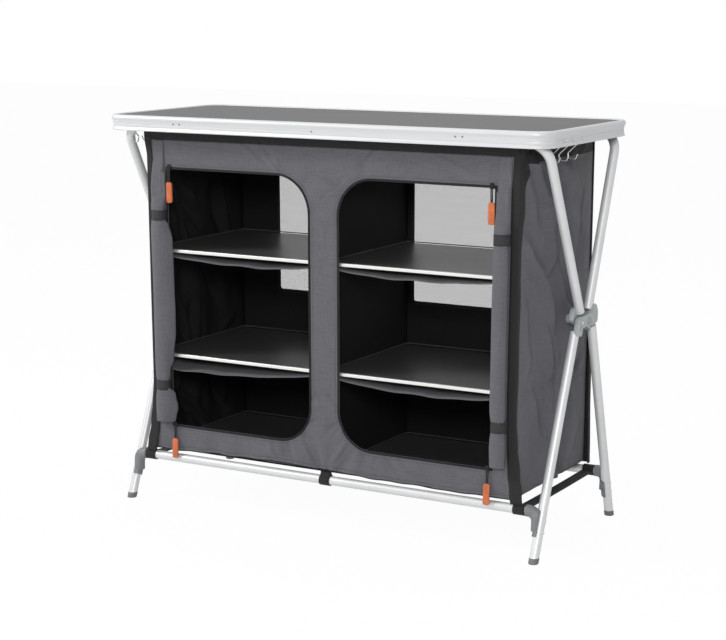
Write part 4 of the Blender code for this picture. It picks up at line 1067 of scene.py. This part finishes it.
def add_side_walls():
    """The side walls: grey outside with a black top, black inside, notched round the sleeves.
    """
    notch = 0.0115
    columns = ([INSIDE_FRONT, -0.160] + spread(FRONT_BAR_Y + notch, REAR_BAR_Y - notch, 84)
               + [0.178, INSIDE_BACK])
    rows = spread(HEM, TOP_BAR_HEIGHT - notch, 168) + [TOP_BAR_HEIGHT + 0.005]
    for word, side in SIDES.items():
        def surface(y, z):
            x = CABINET_HALF - CLOTH / 2 + side_depth(y, z, side)
            return Vector((side * x, y, z))

        shape = cloth_grid(columns, rows, surface, lambda place: Vector((side, 0, 0)))
        missing = []
        for face in shape.faces:
            middle = face.calc_center_median()
            at_bar = middle.y < FRONT_BAR_Y + notch or middle.y > REAR_BAR_Y - notch
            if middle.z > TOP_BAR_HEIGHT - notch and at_bar:
                missing.append(face)
            elif middle.z > SIDE_BLACK_BOTTOM:
                face.material_index = BAND_INDEX
        bmesh.ops.delete(shape, geom=missing, context="FACES")
        wall = finish_piece(f"side_wall_{word}_canvas", shape, WALL_FINISHES,
                            "inner_cloth", 70)
        add_thickness(wall, CANVAS_THICK, inner=1, offset=0)
        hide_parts(f"side_wall_{word}")
        squash_inner(wall)
        for label, height in SIDE_SEAMS.items():
            seam = []
            for y in spread(INSIDE_FRONT + 0.018, INSIDE_BACK - 0.004, 60):
                z = height + SEAM_SINK * (0.5 - depth_share(y))
                seam.append((side * (CABINET_HALF + side_depth(y, z, side)), y, z))
            stitches = add_stitches(f"side_seam_{label}_{word}", seam, "inner_cloth",
                                    (side * 0.0002, 0, 0))
            squash_inner(stitches)


# Edges of the corner webbing, as (height, place)
FRONT_WEBBING_INNER = [(0.090, 0.4300), (0.130, 0.4225), (0.170, 0.4170), (0.220, 0.4145),
                       (0.270, 0.4130), (0.700, 0.4150), (0.790, 0.4190)]
FRONT_WEBBING_CORNER = [(0.090, 0.4530), (0.130, 0.4480), (0.170, 0.4410), (0.220, 0.4350),
                        (0.270, 0.4312), (0.800, 0.4312)]
FRONT_WEBBING_TURN = [(0.090, 0.0030), (0.200, 0.0040), (0.270, 0.0070), (0.450, 0.0080),
                      (0.610, 0.0095), (0.700, 0.0170), (0.756, 0.0260), (0.800, 0.0290)]
REAR_WEBBING_INNER = 0.4215
REAR_WEBBING_CORNER = [(0.090, 0.4430), (0.130, 0.4415), (0.270, 0.4390), (0.400, 0.4370),
                       (0.450, 0.4325), (0.800, 0.4318)]
CORNER_WEBBING_THICK = 0.0011


def add_front_corner(word, side):
    """The webbing down a front corner: it leaves the corner low down and reaches out over
    the side strap, and the left one flares at its top."""
    def surface(share, z):
        slip = 1 - smooth_step((z - 0.1085) / 0.06)
        inner_x = at_height(FRONT_WEBBING_INNER, z)
        corner_x = at_height(FRONT_WEBBING_CORNER, z)
        if side < 0:
            corner_x += 0.006 * smooth_step((z - 0.745) / 0.045)
        front_y = FRONT_FACE - CORNER_WEBBING_THICK - 0.0036 * slip
        if share <= 1.0:
            x = inner_x + (corner_x - inner_x) * share
            return Vector((side * x, front_y + 0.0005 * share, z))
        back = share - 1.0
        y = front_y + 0.0008 + at_height(FRONT_WEBBING_TURN, z) * back
        bulge = max(0.0, side_depth(max(y, INSIDE_FRONT), z, side))
        x = corner_x + 0.0010 + bulge + 0.0006 * math.sin(z * 40.0) * back
        return Vector((side * x, y, z))

    shape = cloth_grid([0.0, 0.3, 0.6, 0.85, 1.0, 1.15, 1.4, 1.7, 2.0],
                       spread(0.1085, 0.801, 140), surface,
                       lambda place: Vector((side, -1, 0)))
    webbing = finish_piece(f"front_corner_webbing_{word}", shape, [WEBBING_BLACK],
                           "front_cloth", 60)
    add_thickness(webbing, CORNER_WEBBING_THICK)


def add_rear_corner(word, side):
    """The webbing down a rear corner, which turns further round the side low down."""
    face_y = REAR_FACE + CORNER_WEBBING_THICK

    def surface(share, z):
        corner_x = at_height(REAR_WEBBING_CORNER, z)
        if share <= 1.0:
            x = REAR_WEBBING_INNER + (corner_x - REAR_WEBBING_INNER) * share
            return Vector((side * x, face_y, z))
        reach = 0.0050 + 0.0080 * smooth_step((0.44 - z) / 0.10)
        return Vector((side * (corner_x + 0.0003), face_y - reach * (share - 1.0), z))

    shape = cloth_grid([0.0, 0.5, 0.9, 1.0, 1.1, 1.5, 2.0], spread(0.113, 0.801, 100),
                       surface, lambda place: Vector((side, 1, 0)))
    webbing = finish_piece(f"rear_corner_webbing_{word}", shape, [WEBBING_BLACK],
                           "back_cloth", 60)
    add_thickness(webbing, CORNER_WEBBING_THICK)


def add_net_thread(shape, middle, width, height):
    """Add one flat thread of the net."""
    bmesh.ops.create_grid(shape, x_segments=1, y_segments=1, size=1.0,
                          matrix=Matrix.Translation(middle)
                          @ Matrix.Rotation(math.pi / 2, 4, "X")
                          @ Matrix.Diagonal((width / 2, height / 2, 1, 1)))


def add_net():
    """The net over both windows: real threads, crossing each other."""
    low_z, high_z = WINDOW_BOTTOM - NET_SEAM, WINDOW_TOP + NET_SEAM
    half = WINDOW_OUTER + NET_SEAM
    width = NET_THREAD_WIDTH
    shape = bmesh.new()
    y = REAR_FACE + 0.0009
    upright_count = int(2 * half / NET_PITCH)
    across_count = int((high_z - low_z) / NET_PITCH)
    for number in range(upright_count + 1):
        x = -half + number * 2 * half / upright_count
        add_net_thread(shape, (x, y, (low_z + high_z) / 2), width, high_z - low_z)
    for number in range(across_count + 1):
        z = low_z + number * (high_z - low_z) / across_count
        add_net_thread(shape, (0, y - 0.0003, z), 2 * half, width)
    net = finish_piece("window_net_threads", shape, [NET_THREAD], "back_cloth")
    add_thickness(net, 0.00018, offset=0)
    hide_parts("window_net")


def add_window_binding():
    """Black binding round each window, inside, and round the net, outside."""
    def outline(inner, outer, grow):
        radius = WINDOW_CORNER + max(grow, -0.004)
        middle_x = (inner + outer) / 2
        middle_z = (WINDOW_TOP + WINDOW_BOTTOM) / 2
        inner_x = (outer - inner) / 2 + grow - radius
        inner_z = (WINDOW_TOP - WINDOW_BOTTOM) / 2 + grow - radius
        points = []
        for way_x, way_z, start in ((1, 1, 0), (-1, 1, 90), (-1, -1, 180), (1, -1, 270)):
            corner = (way_x * inner_x + middle_x, way_z * inner_z + middle_z)
            points += corner_arc(corner, radius, start, start + 90, 6)
        return points + points[:1]

    rings = [("net_binding", -WINDOW_OUTER, WINDOW_OUTER, 1),
             ("window_binding_left", -WINDOW_OUTER, -WINDOW_INNER, -1),
             ("window_binding_right", WINDOW_INNER, WINDOW_OUTER, -1)]
    for name, inner, outer, way in rings:
        if way > 0:
            y, grows = REAR_FACE + 0.0014, (0.0010, 0.0030, 0.0080, 0.0100)
        else:
            y, grows = REAR_FACE - 0.0016, (-0.0010, 0.0010, 0.0050, 0.0070)
        loops = {grow: outline(inner, outer, grow) for grow in grows}

        def surface(grow, number):
            x, z = loops[grow][int(number)]
            lift = 0.0009 if grow in grows[1:3] else 0.0003
            return Vector((x, y + way * lift, z))

        shape = cloth_grid(grows, range(len(loops[grows[0]])), surface,
                           lambda place: Vector((0, way, 0)))
        bmesh.ops.remove_doubles(shape, verts=shape.verts, dist=0.00001)
        binding = finish_piece(name, shape, [WEBBING_BLACK], "back_cloth")
        add_thickness(binding, 0.0006)


# Inside the cabinet

def add_divider():
    """The black wall between the two bays."""
    def surface(y, z):
        bow = math.sin(math.pi * min(1.0, max(0.0, depth_share(y))))
        x = 0.0016 * bow * math.sin(z * 19.0) + 0.0007 * bow * math.sin(z * 53.0 + y * 30.0)
        return Vector((x, y, z))

    shape = cloth_grid(spread(INSIDE_FRONT, INSIDE_BACK, 40), spread(HEM + 0.0013, 0.8005, 60),
                       surface, lambda place: Vector((1, 0, 0)))
    wall = finish_piece("middle_wall_lining", shape, [LINING_BLACK], "inner_cloth")
    add_thickness(wall, CANVAS_THICK, offset=0)
    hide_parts("middle_divider")
    squash_inner(wall)


def add_floor_cloth():
    """The black cloth floor, which hangs a little between the walls."""
    half = 0.4287

    def surface(x, y):
        across = depth_share(y)
        sag = math.sin(math.pi * across) * abs(math.sin(math.pi * x / half))
        ripple_low = 0.0003 * math.sin(x * 38.0) * math.sin(math.pi * across)
        return Vector((x, y, HEM + 0.0004 - 0.0012 * sag - abs(ripple_low)))

    shape = cloth_grid(spread(-half, half, 120), spread(INSIDE_FRONT, INSIDE_BACK, 40),
                       surface, lambda place: Vector((0, 0, 1)))
    floor = finish_piece("floor_lining", shape, [LINING_BLACK], "inner_cloth")
    add_thickness(floor, CANVAS_THICK, offset=0)
    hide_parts("floor_cloth")
    squash_inner(floor)


def add_slings():
    """The cloth pockets under the shelf boards: held at both ends, slack between."""
    gap = 0.0003
    near = CLOTH / 2 + gap
    far = CABINET_HALF - CLOTH - gap
    slack = {("upper", "left"): (0.40, 0.0165), ("upper", "right"): (0.42, 0.0150),
             ("middle", "left"): (0.84, 0.0270), ("middle", "right"): (0.55, 0.0185)}
    for (level, word), (lowest, sag) in slack.items():
        side = SIDES[word]
        top = SHELVES[level] - SHELF_THICK - 0.0008
        low_x = near + (far - near) * lowest

        def surface(x, y):
            reach = (x - near) / (low_x - near) if x < low_x else (far - x) / (far - low_x)
            hang = (1 - (1 - max(0.0, reach)) ** 2.4) ** 0.9
            front = hump(y, INSIDE_FRONT, 0.09)
            crumple = 0.0013 * math.sin(x * 61.0 + y * 9.0) * front * reach
            drop = sag * hang * (0.70 + 0.30 * front) + crumple * hang
            return Vector((side * x, y, top - max(0.0, drop)))

        shape = cloth_grid(spread(near, far, 84),
                           spread(INSIDE_FRONT + 0.0006, INSIDE_BACK, 44), surface,
                           lambda place: Vector((0, 0, -1)))
        sling = finish_piece(f"shelf_sling_{level}_{word}_canvas", shape, [CANVAS_GREY],
                             "inner_cloth")
        add_thickness(sling, CANVAS_THICK, offset=0)
        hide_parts(f"shelf_sling_{level}_{word}")
        squash_inner(sling)
        hem_line = [surface(x, INSIDE_FRONT + 0.0012)
                    for x in spread(near + 0.002, far - 0.002, 70)]
        hem = add_rod(f"shelf_sling_hem_{level}_{word}", hem_line, 0.0011, CANVAS_GREY,
                      "inner_cloth", 3)
        squash_inner(hem)


def add_shelf_trims():
    """The bright channel on each upper and middle board's front edge."""
    for level in SHELVES:
        for word in SIDES:
            low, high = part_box(f"shelf_board_{level}_{word}")
            shape = new_block((high.x - low.x, 0.0058, high.z - low.z + 0.0012))
            middle = Vector(((low.x + high.x) / 2, low.y + 0.0022, (low.z + high.z) / 2))
            bmesh.ops.translate(shape, vec=middle, verts=shape.verts)
            edges = [edge for edge in shape.edges
                     if all(vert.co.y < middle.y for vert in edge.verts)
                     and abs(edge.verts[0].co.z - edge.verts[1].co.z) < 0.001]
            round_edges(shape, edges, 0.0016, 4)
            finish_piece(f"shelf_trim_{level}_{word}", shape, [TRIM_METAL],
                         f"shelf_{level}_{word}")


def add_shelf_lips():
    """The cord-edged lip of cloth along the other three edges of each board."""
    for level, top in {**SHELVES, "floor": FLOOR_BOARD_TOP}.items():
        for word, side in SIDES.items():
            near = side * 0.0024
            far = side * (CABINET_HALF - 0.0030)
            back = INSIDE_BACK - 0.0030
            front = INSIDE_FRONT + 0.0100
            plan = [(near, front), (near, back), (far, back), (far, front)]
            route = bend([(x, y, top + 0.0015) for x, y in plan], 0.008, 6)
            lip = add_rod(f"shelf_lip_{level}_{word}", route, 0.0013, THREAD_GREY,
                          "inner_cloth", 3)
            squash_inner(lip)


# Rolled doors

ROLL_TURNS = 5.86
ROLL_CORE = 0.16
ROLL_LOW = 0.180
ROLL_HIGH = 0.716

# How far the left door's loose edge reaches past its roll, as (height, share)
LOOSE_EDGE = [(0.170, 0.20), (0.190, 0.65), (0.2135, 1.05), (0.239, 0.66), (0.261, 0.04),
              (0.290, 0.18), (0.327, 0.55), (0.382, 0.98), (0.425, 1.0), (0.468, 0.92),
              (0.532, 0.88), (0.575, 0.80), (0.606, 0.35), (0.626, 0.0), (0.720, 0.0)]


def roll_waist(z):
    """How full a rolled door is at a height: pulled in at its ties, full between."""
    waist = 1.0
    for tie in TIES.values():
        waist -= 0.17 * hump(z, tie, 0.017)
    waist += 0.05 * hump(z, TIES["lower"] - 0.045, 0.022)
    waist += 0.03 * hump(z, TIES["lower"] + 0.050, 0.030)
    return waist - 0.10 * smooth_step((z - TIES["upper"] - 0.02) / 0.05)


def add_rolled_doors():
    """The two doors, wound up to their outer edges, each one strip of cloth. The left
    one's last edge lies loose between its ties."""
    for word, side in SIDES.items():
        low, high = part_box(f"rolled_door_{word}")
        middle = (low + high) / 2
        half_x = (high.x - low.x) / 2 - 0.0008
        half_y = (high.y - low.y) / 2 - 0.0006

        def wound(turn, share, z):
            reach = ROLL_CORE + (1 - ROLL_CORE) * share
            loose = smooth_step((share - 0.55) / 0.4)
            crease = 0.020 * math.cos(turn * 9.0 + 2.2 * math.sin(z * 11.0 + side))
            crease += 0.014 * math.cos(turn * 4.0 + z * 30.0)
            tied = max(hump(z, tie, 0.02) for tie in TIES.values())
            reach *= roll_waist(z) * (1 + crease * loose * (1 - 0.5 * tied))
            x = math.cos(turn) * reach * half_x
            y = math.sin(turn) * reach * half_y
            pressed = smooth_step((z - TIES["upper"] - 0.012) / 0.035)
            y = y * (1 - 0.74 * pressed) + half_y * 0.72 * pressed
            if side < 0 and x < 0:
                x *= 1.16
            sway = 0.0010 * math.sin(z * 9.0 + side * 1.5) * (1 - tied)
            y = min(y, half_y - 0.0002)
            return Vector((middle.x - side * x + sway, middle.y + y, z))

        def surface(share, z):
            turn = 2 * math.pi * ROLL_TURNS * min(share, 1.0)
            if share <= 1.0:
                return wound(turn, share, z)
            along = share - 1.0
            rolled = wound(turn + math.radians(48) * along, 1.0 + 0.02 * along, z)
            if side > 0:
                return rolled
            loose = at_height(LOOSE_EDGE, z)
            start = wound(turn, 1.0, z)
            end = Vector((-DOOR_OUTER + 0.0145 * loose, FRONT_FACE - 0.0046, z))
            bow = -0.0016 * math.sin(math.pi * along)
            open_edge = start.lerp(end, along) + Vector((0, bow, 0))
            return rolled.lerp(open_edge, smooth_step(loose / 0.5))

        shares = spread(0.0, 1.0, 140) + [1.12, 1.25, 1.4, 1.55, 1.7, 1.85, 2.0]
        shape = cloth_grid(shares, spread(ROLL_LOW, ROLL_HIGH, 120), surface,
                           lambda place: Vector((place.x - middle.x, place.y - middle.y, 0)))
        door = finish_piece(f"rolled_door_{word}_canvas", shape, [CANVAS_GREY, LINING_BLACK],
                            "front_cloth", 70)
        add_thickness(door, 0.0008, inner=1)
        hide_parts(f"rolled_door_{word}")
        add_door_ties(word, side, middle, half_x, half_y)


def add_door_strips():
    """The sewn strip of canvas that each door hangs from, over the roll's flat upper end."""
    for word, side in SIDES.items():
        low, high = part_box(f"rolled_door_{word}")
        proud = (low.y + high.y) / 2 + 0.40 * ((high.y - low.y) / 2 - 0.0006)

        def surface(share, z):
            inner_x, outer_x = 0.3885, 0.4150
            if side < 0:
                outer_x = 0.4218 - 0.0098 * smooth_step((z - 0.68) / 0.09)
            sewn = smooth_step((z - 0.700) / 0.055)
            stand = proud + (FRONT_FACE - 0.0014 - proud) * sewn
            rim = smooth_step(min(share, 1 - share) / 0.16)
            base = FRONT_FACE - 0.0027
            y = base + (min(stand, base) - base) * rim
            y -= 0.0005 * math.sin(z * 70.0 + share * 3.0) * rim
            return Vector((side * (inner_x + (outer_x - inner_x) * share), y, z))

        shape = cloth_grid(spread(0.0, 1.0, 20), spread(0.6360, 0.7815, 60), surface,
                           lambda place: Vector((0, -1, 0)))
        strip = finish_piece(f"door_strip_{word}", shape, [CANVAS_GREY], "front_cloth")
        add_thickness(strip, 0.0007)


def add_door_ties(word, side, middle, half_x, half_y):
    """The two straps that hold a rolled door, from the doorway's edge to the corner."""
    for label, height in TIES.items():
        waist = roll_waist(height)
        reach_x = half_x * waist + 0.0012
        reach_y = half_y * waist + 0.0012
        inner = side * middle.x - reach_x
        outer = side * middle.x + reach_x
        face = FRONT_FACE - 0.0014
        route = [(inner - 0.0005, face, height), (inner - 0.0003, middle.y, height)]
        for degrees in range(170, 9, -10):
            turn = math.radians(degrees)
            route.append((side * middle.x + reach_x * math.cos(turn),
                          middle.y - reach_y * math.sin(turn), height))
        route += [(outer + 0.0008, middle.y + 0.004, height), (outer + 0.0012, face, height)]
        route = [(side * x, y, z) for x, y, z in route]
        add_ribbon(f"door_tie_{label}_{word}", route, (0, 0, 0.021), TIE_BLACK,
                   "front_cloth", 0.0012)


# Straps and pulls

def join_cloth(shape, other):
    """Move another sheet into a shape."""
    mesh = bpy.data.meshes.new("joined")
    other.to_mesh(mesh)
    other.free()
    shape.from_mesh(mesh)


def add_side_straps():
    """The strap from bar to bar at each side, with a sewn loop at both ends."""
    start = FRONT_BASE_Y + STRAP_LOOP_RADIUS
    end = REAR_BASE_Y - STRAP_LOOP_RADIUS
    for word, side in SIDES.items():
        x = side * STRAP_X
        shape = bmesh.new()
        for bar_y, way in ((FRONT_BASE_Y, 1), (REAR_BASE_Y, -1)):
            def loop_surface(share, turn):
                return Vector((x + STRAP_WIDTH * share,
                               bar_y + way * STRAP_LOOP_RADIUS * math.cos(turn),
                               BASE_BAR_HEIGHT + STRAP_LOOP_RADIUS * math.sin(turn)))

            loop = cloth_grid(spread(-0.5, 0.5, 4), spread(0, 2 * math.pi, 24), loop_surface,
                              lambda place: Vector((0, place.y - bar_y,
                                                    place.z - BASE_BAR_HEIGHT)))
            bmesh.ops.remove_doubles(loop, verts=loop.verts, dist=0.00001)
            join_cloth(shape, loop)

        def band_surface(share, y):
            sag = 0.0012 * math.sin(math.pi * (y - start) / (end - start))
            return Vector((x + STRAP_WIDTH * share, y, BASE_BAR_HEIGHT - sag))

        join_cloth(shape, cloth_grid(spread(-0.5, 0.5, 4), spread(start, end, 40),
                                     band_surface, lambda place: Vector((0, 0, 1))))
        strap = finish_piece(f"side_strap_{word}_webbing", shape, [WEBBING_BLACK],
                             "side_straps", 60)
        add_thickness(strap, STRAP_THICK, offset=0)
        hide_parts(f"side_strap_{word}")
        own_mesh(strap)


def add_centre_strap():
    """The strap that ties the hem's middle to the front bottom bar."""
    route = [(0, FRONT_BASE_Y - 0.0006, HEM + 0.0050), (0, FRONT_BASE_Y - 0.0012, 0.1130)]
    for degrees in range(70, -251, -16):
        turn = math.radians(degrees)
        route.append((0, FRONT_BASE_Y - STRAP_LOOP_RADIUS * math.cos(turn),
                      BASE_BAR_HEIGHT + STRAP_LOOP_RADIUS * math.sin(turn)))
    route += [(0, FRONT_BASE_Y + 0.0014, 0.1130), (0, FRONT_BASE_Y + 0.0010, HEM - 0.0006)]
    strap = add_ribbon("centre_strap_webbing", route, (0.024, 0, 0), WEBBING_BLACK,
                       "rear_frame", STRAP_THICK)
    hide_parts("centre_strap")


def add_grip(name, body, hang):
    """A pull's moulded orange grip: a flat block, its ends rounded, ribbed on both faces."""
    shape = new_block(GRIP_SIZE)
    ends = [edge for edge in shape.edges
            if abs(edge.verts[0].co.z - edge.verts[1].co.z) < 0.001
            and abs(edge.verts[0].co.y - edge.verts[1].co.y) > 0.001]
    round_edges(shape, ends, 0.0042, 6)
    round_edges(shape, shape.edges[:], 0.0006, 2)
    for number in range(5):
        z = -0.012 + number * 0.006
        for way in (-1, 1):
            rib = Matrix.Diagonal((0.0085, 0.0008, 0.0022, 1))
            place = Matrix.Translation((0, way * GRIP_SIZE[1] / 2, z))
            bmesh.ops.create_cube(shape, size=1.0, matrix=place @ rib)
    bmesh.ops.transform(shape, matrix=hang @ Matrix.Translation((0, 0, -0.0515)),
                        verts=shape.verts)
    grip = finish_piece(name, shape, [PULL_ORANGE], body, 30)
    rounding = grip.modifiers.new("rounding", "BEVEL")
    rounding.width = 0.0002
    rounding.segments = 2
    rounding.limit_method = "ANGLE"
    rounding.angle_limit = math.radians(40)
    return grip


def add_pull_cord(name, body, hang):
    """A pull's doubled cord, from the grip up through the slider and back."""
    half = [(-0.0013, 0.0, -0.034), (-0.0015, -0.0003, -0.020), (-0.0017, -0.0004, -0.008),
            (-0.0012, -0.0001, -0.001)]
    other = [(-x, y, z) for x, y, z in reversed(half)]
    cord = [hang @ Vector(point) for point in half + [(0.0, 0.0, 0.0008)] + other]
    add_rod(name, cord, 0.00125, CORD_BLACK, body, 3)


def add_slider(name, top):
    """A zip's slider, which stays on the wall when its pull swings."""
    shape = new_block(SLIDER_SIZE)
    bmesh.ops.translate(shape, vec=top + Vector((0, 0.0002, 0.0006)), verts=shape.verts)
    round_edges(shape, shape.edges[:], 0.0010, 3)
    finish_piece(name, shape, [ZIP_BLACK], "front_cloth")


def add_pulls():
    """The four zip pulls. The lower ones lean on the front bottom bar."""
    grip_y = FRONT_FACE - 0.0003 - GRIP_SIZE[1] / 2
    for level, zip_z in (("upper", DOOR_TOP + 0.003), ("lower", DOOR_BOTTOM - 0.001)):
        lean = 0.0 if level == "upper" else LOWER_PULL_LEAN
        for word, side in SIDES.items():
            body = f"zip_pull_{level}_{word}_body"
            top = Vector((side * PULL_X, grip_y, zip_z))
            hang = Matrix.Translation(top) @ Matrix.Rotation(-lean, 4, "X")
            grip = add_grip(f"zip_grip_{level}_{word}", body, hang)
            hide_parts(f"zip_pull_{level}_{word}")
            add_pull_cord(f"zip_cord_{level}_{word}", body, hang)
            add_slider(f"zip_slider_{level}_{word}", top)


def add_front_stitching():
    """Stitches along the hem, below the top band and round the doorways."""
    columns = spread(-CABINET_HALF + 0.016, CABINET_HALF - 0.016, 160)
    rows = {"hem_stitches": [on_front_wall(x, hem_height(x) + 0.0085) for x in columns],
            "band_stitches": [on_front_wall(x, BAND_BOTTOM - 0.0020) for x in columns]}
    for word, side in SIDES.items():
        loop = [on_front_wall(x, z) for x, z in doorway_loop(side, 0.0095)]
        rows[f"doorway_stitches_{word}"] = loop + loop[:1]
    for name, line in rows.items():
        add_stitches(name, line, "front_cloth", (0, -0.0002, 0))


# Studio

def add_floor():
    """A pale floor that shows white to the camera and keeps the cupboard's shadow."""
    shape = bmesh.new()
    bmesh.ops.create_grid(shape, x_segments=1, y_segments=1, size=14.0)
    mesh = bpy.data.meshes.new("studio_floor")
    shape.to_mesh(mesh)
    shape.free()
    floor = bpy.data.objects.new("studio_floor", mesh)
    bpy.context.scene.collection.objects.link(floor)
    material, tree, shader = node_tree("studio_floor")
    shader.inputs["Base Color"].default_value = (0.93, 0.93, 0.93, 1.0)
    shader.inputs["Roughness"].default_value = 0.9
    shader.inputs["Specular IOR Level"].default_value = 0.1
    white = tree.nodes.new("ShaderNodeEmission")
    white.inputs["Color"].default_value = (1.0, 1.0, 1.0, 1.0)
    white.inputs["Strength"].default_value = 1.0
    mix = tree.nodes.new("ShaderNodeMixShader")
    tree.links.new(arithmetic(tree, "MULTIPLY", seen_rays(tree), 0.97), mix.inputs[0])
    tree.links.new(shader.outputs[0], mix.inputs[1])
    tree.links.new(white.outputs[0], mix.inputs[2])
    tree.links.new(mix.outputs[0], tree.nodes["Material Output"].inputs["Surface"])
    mesh.materials.append(material)


def seen_rays(tree):
    """1 for rays from the camera and for reflected and transmitted ones, else 0."""
    path = tree.nodes.new("ShaderNodeLightPath")
    mirrored = arithmetic(tree, "ADD", path.outputs["Is Glossy Ray"],
                          path.outputs["Is Transmission Ray"])
    seen = arithmetic(tree, "ADD", mirrored, path.outputs["Is Camera Ray"])
    return arithmetic(tree, "MINIMUM", seen, 1.0)


def add_world():
    """A soft pale surround, pure white where the camera or a reflection sees it."""
    world = bpy.data.worlds.new("studio")
    world.use_nodes = True
    bpy.context.scene.world = world
    tree = world.node_tree
    fill = tree.nodes["Background"]
    fill.inputs["Color"].default_value = (1.0, 1.0, 1.0, 1.0)
    fill.inputs["Strength"].default_value = 0.42
    white = tree.nodes.new("ShaderNodeBackground")
    white.inputs["Color"].default_value = (1.0, 1.0, 1.0, 1.0)
    white.inputs["Strength"].default_value = 1.0
    mix = tree.nodes.new("ShaderNodeMixShader")
    tree.links.new(seen_rays(tree), mix.inputs[0])
    tree.links.new(fill.outputs[0], mix.inputs[1])
    tree.links.new(white.outputs[0], mix.inputs[2])
    tree.links.new(mix.outputs[0], tree.nodes["World Output"].inputs["Surface"])


def add_lamp(name, place, aim, size, power):
    """A soft square lamp that points at aim."""
    lamp = bpy.data.lights.new(name, "AREA")
    lamp.shape = "SQUARE"
    lamp.size = size
    lamp.energy = power
    lamp_object = bpy.data.objects.new(name, lamp)
    lamp_object.location = place
    turn = (Vector(aim) - Vector(place)).to_track_quat("-Z", "Y")
    lamp_object.rotation_euler = turn.to_euler()
    bpy.context.scene.collection.objects.link(lamp_object)


def add_light():
    """Studio light: a broad key from the front left and above, a fill from the right."""
    bpy.context.scene.view_settings.view_transform = "Standard"
    add_world()
    add_lamp("key", (-2.9, -1.9, 2.5), (0.0, 0.0, 0.4), 0.8, 84.0)
    add_lamp("fill", (1.7, -3.2, 1.6), (0.1, 0.0, 0.4), 0.6, 58.0)
    add_lamp("top", (0.2, 0.5, 3.0), (0.0, 0.0, 0.6), 2.2, 22.0)


def dress_frame_nodes():
    """Give the rigid nodes that stay their finishes."""
    finishes = {"elbow": ELBOW_GREY, "hub_pin": PIN_GREY, "clip": CLIP_BLACK,
                "tabletop_board": WORKTOP_GREY, "shelf_board": SHELF_LAMINATE}
    for name, node in nodes.items():
        for start, finish in finishes.items():
            if name.startswith(start):
                for slot in node.material_slots:
                    slot.material = finish


add_camera()
dress_frame_nodes()
for frame_word, is_front, frame_body in (("rear", False, "rear_frame"),
                                         ("front", True, "front_frame")):
    add_upper_tube(frame_word, is_front, frame_body)
    add_lower_tubes(is_front, frame_body)
add_frame_rivets()
add_hub_plates()
add_foot_caps()
add_rim()
add_rim_rivets()
add_hooks()

front_wall = add_front_wall()
back_wall = add_back_wall()
for side_word, side_way in SIDES.items():
    add_zip(side_word, side_way)
add_side_walls()
for side_word, side_way in SIDES.items():
    add_front_corner(side_word, side_way)
    add_rear_corner(side_word, side_way)
add_net()
add_window_binding()
add_divider()
add_floor_cloth()
add_slings()
add_shelf_trims()
add_shelf_lips()
add_rolled_doors()
add_door_strips()
add_side_straps()
add_centre_strap()
add_pulls()
add_front_stitching()
add_floor()
add_light()
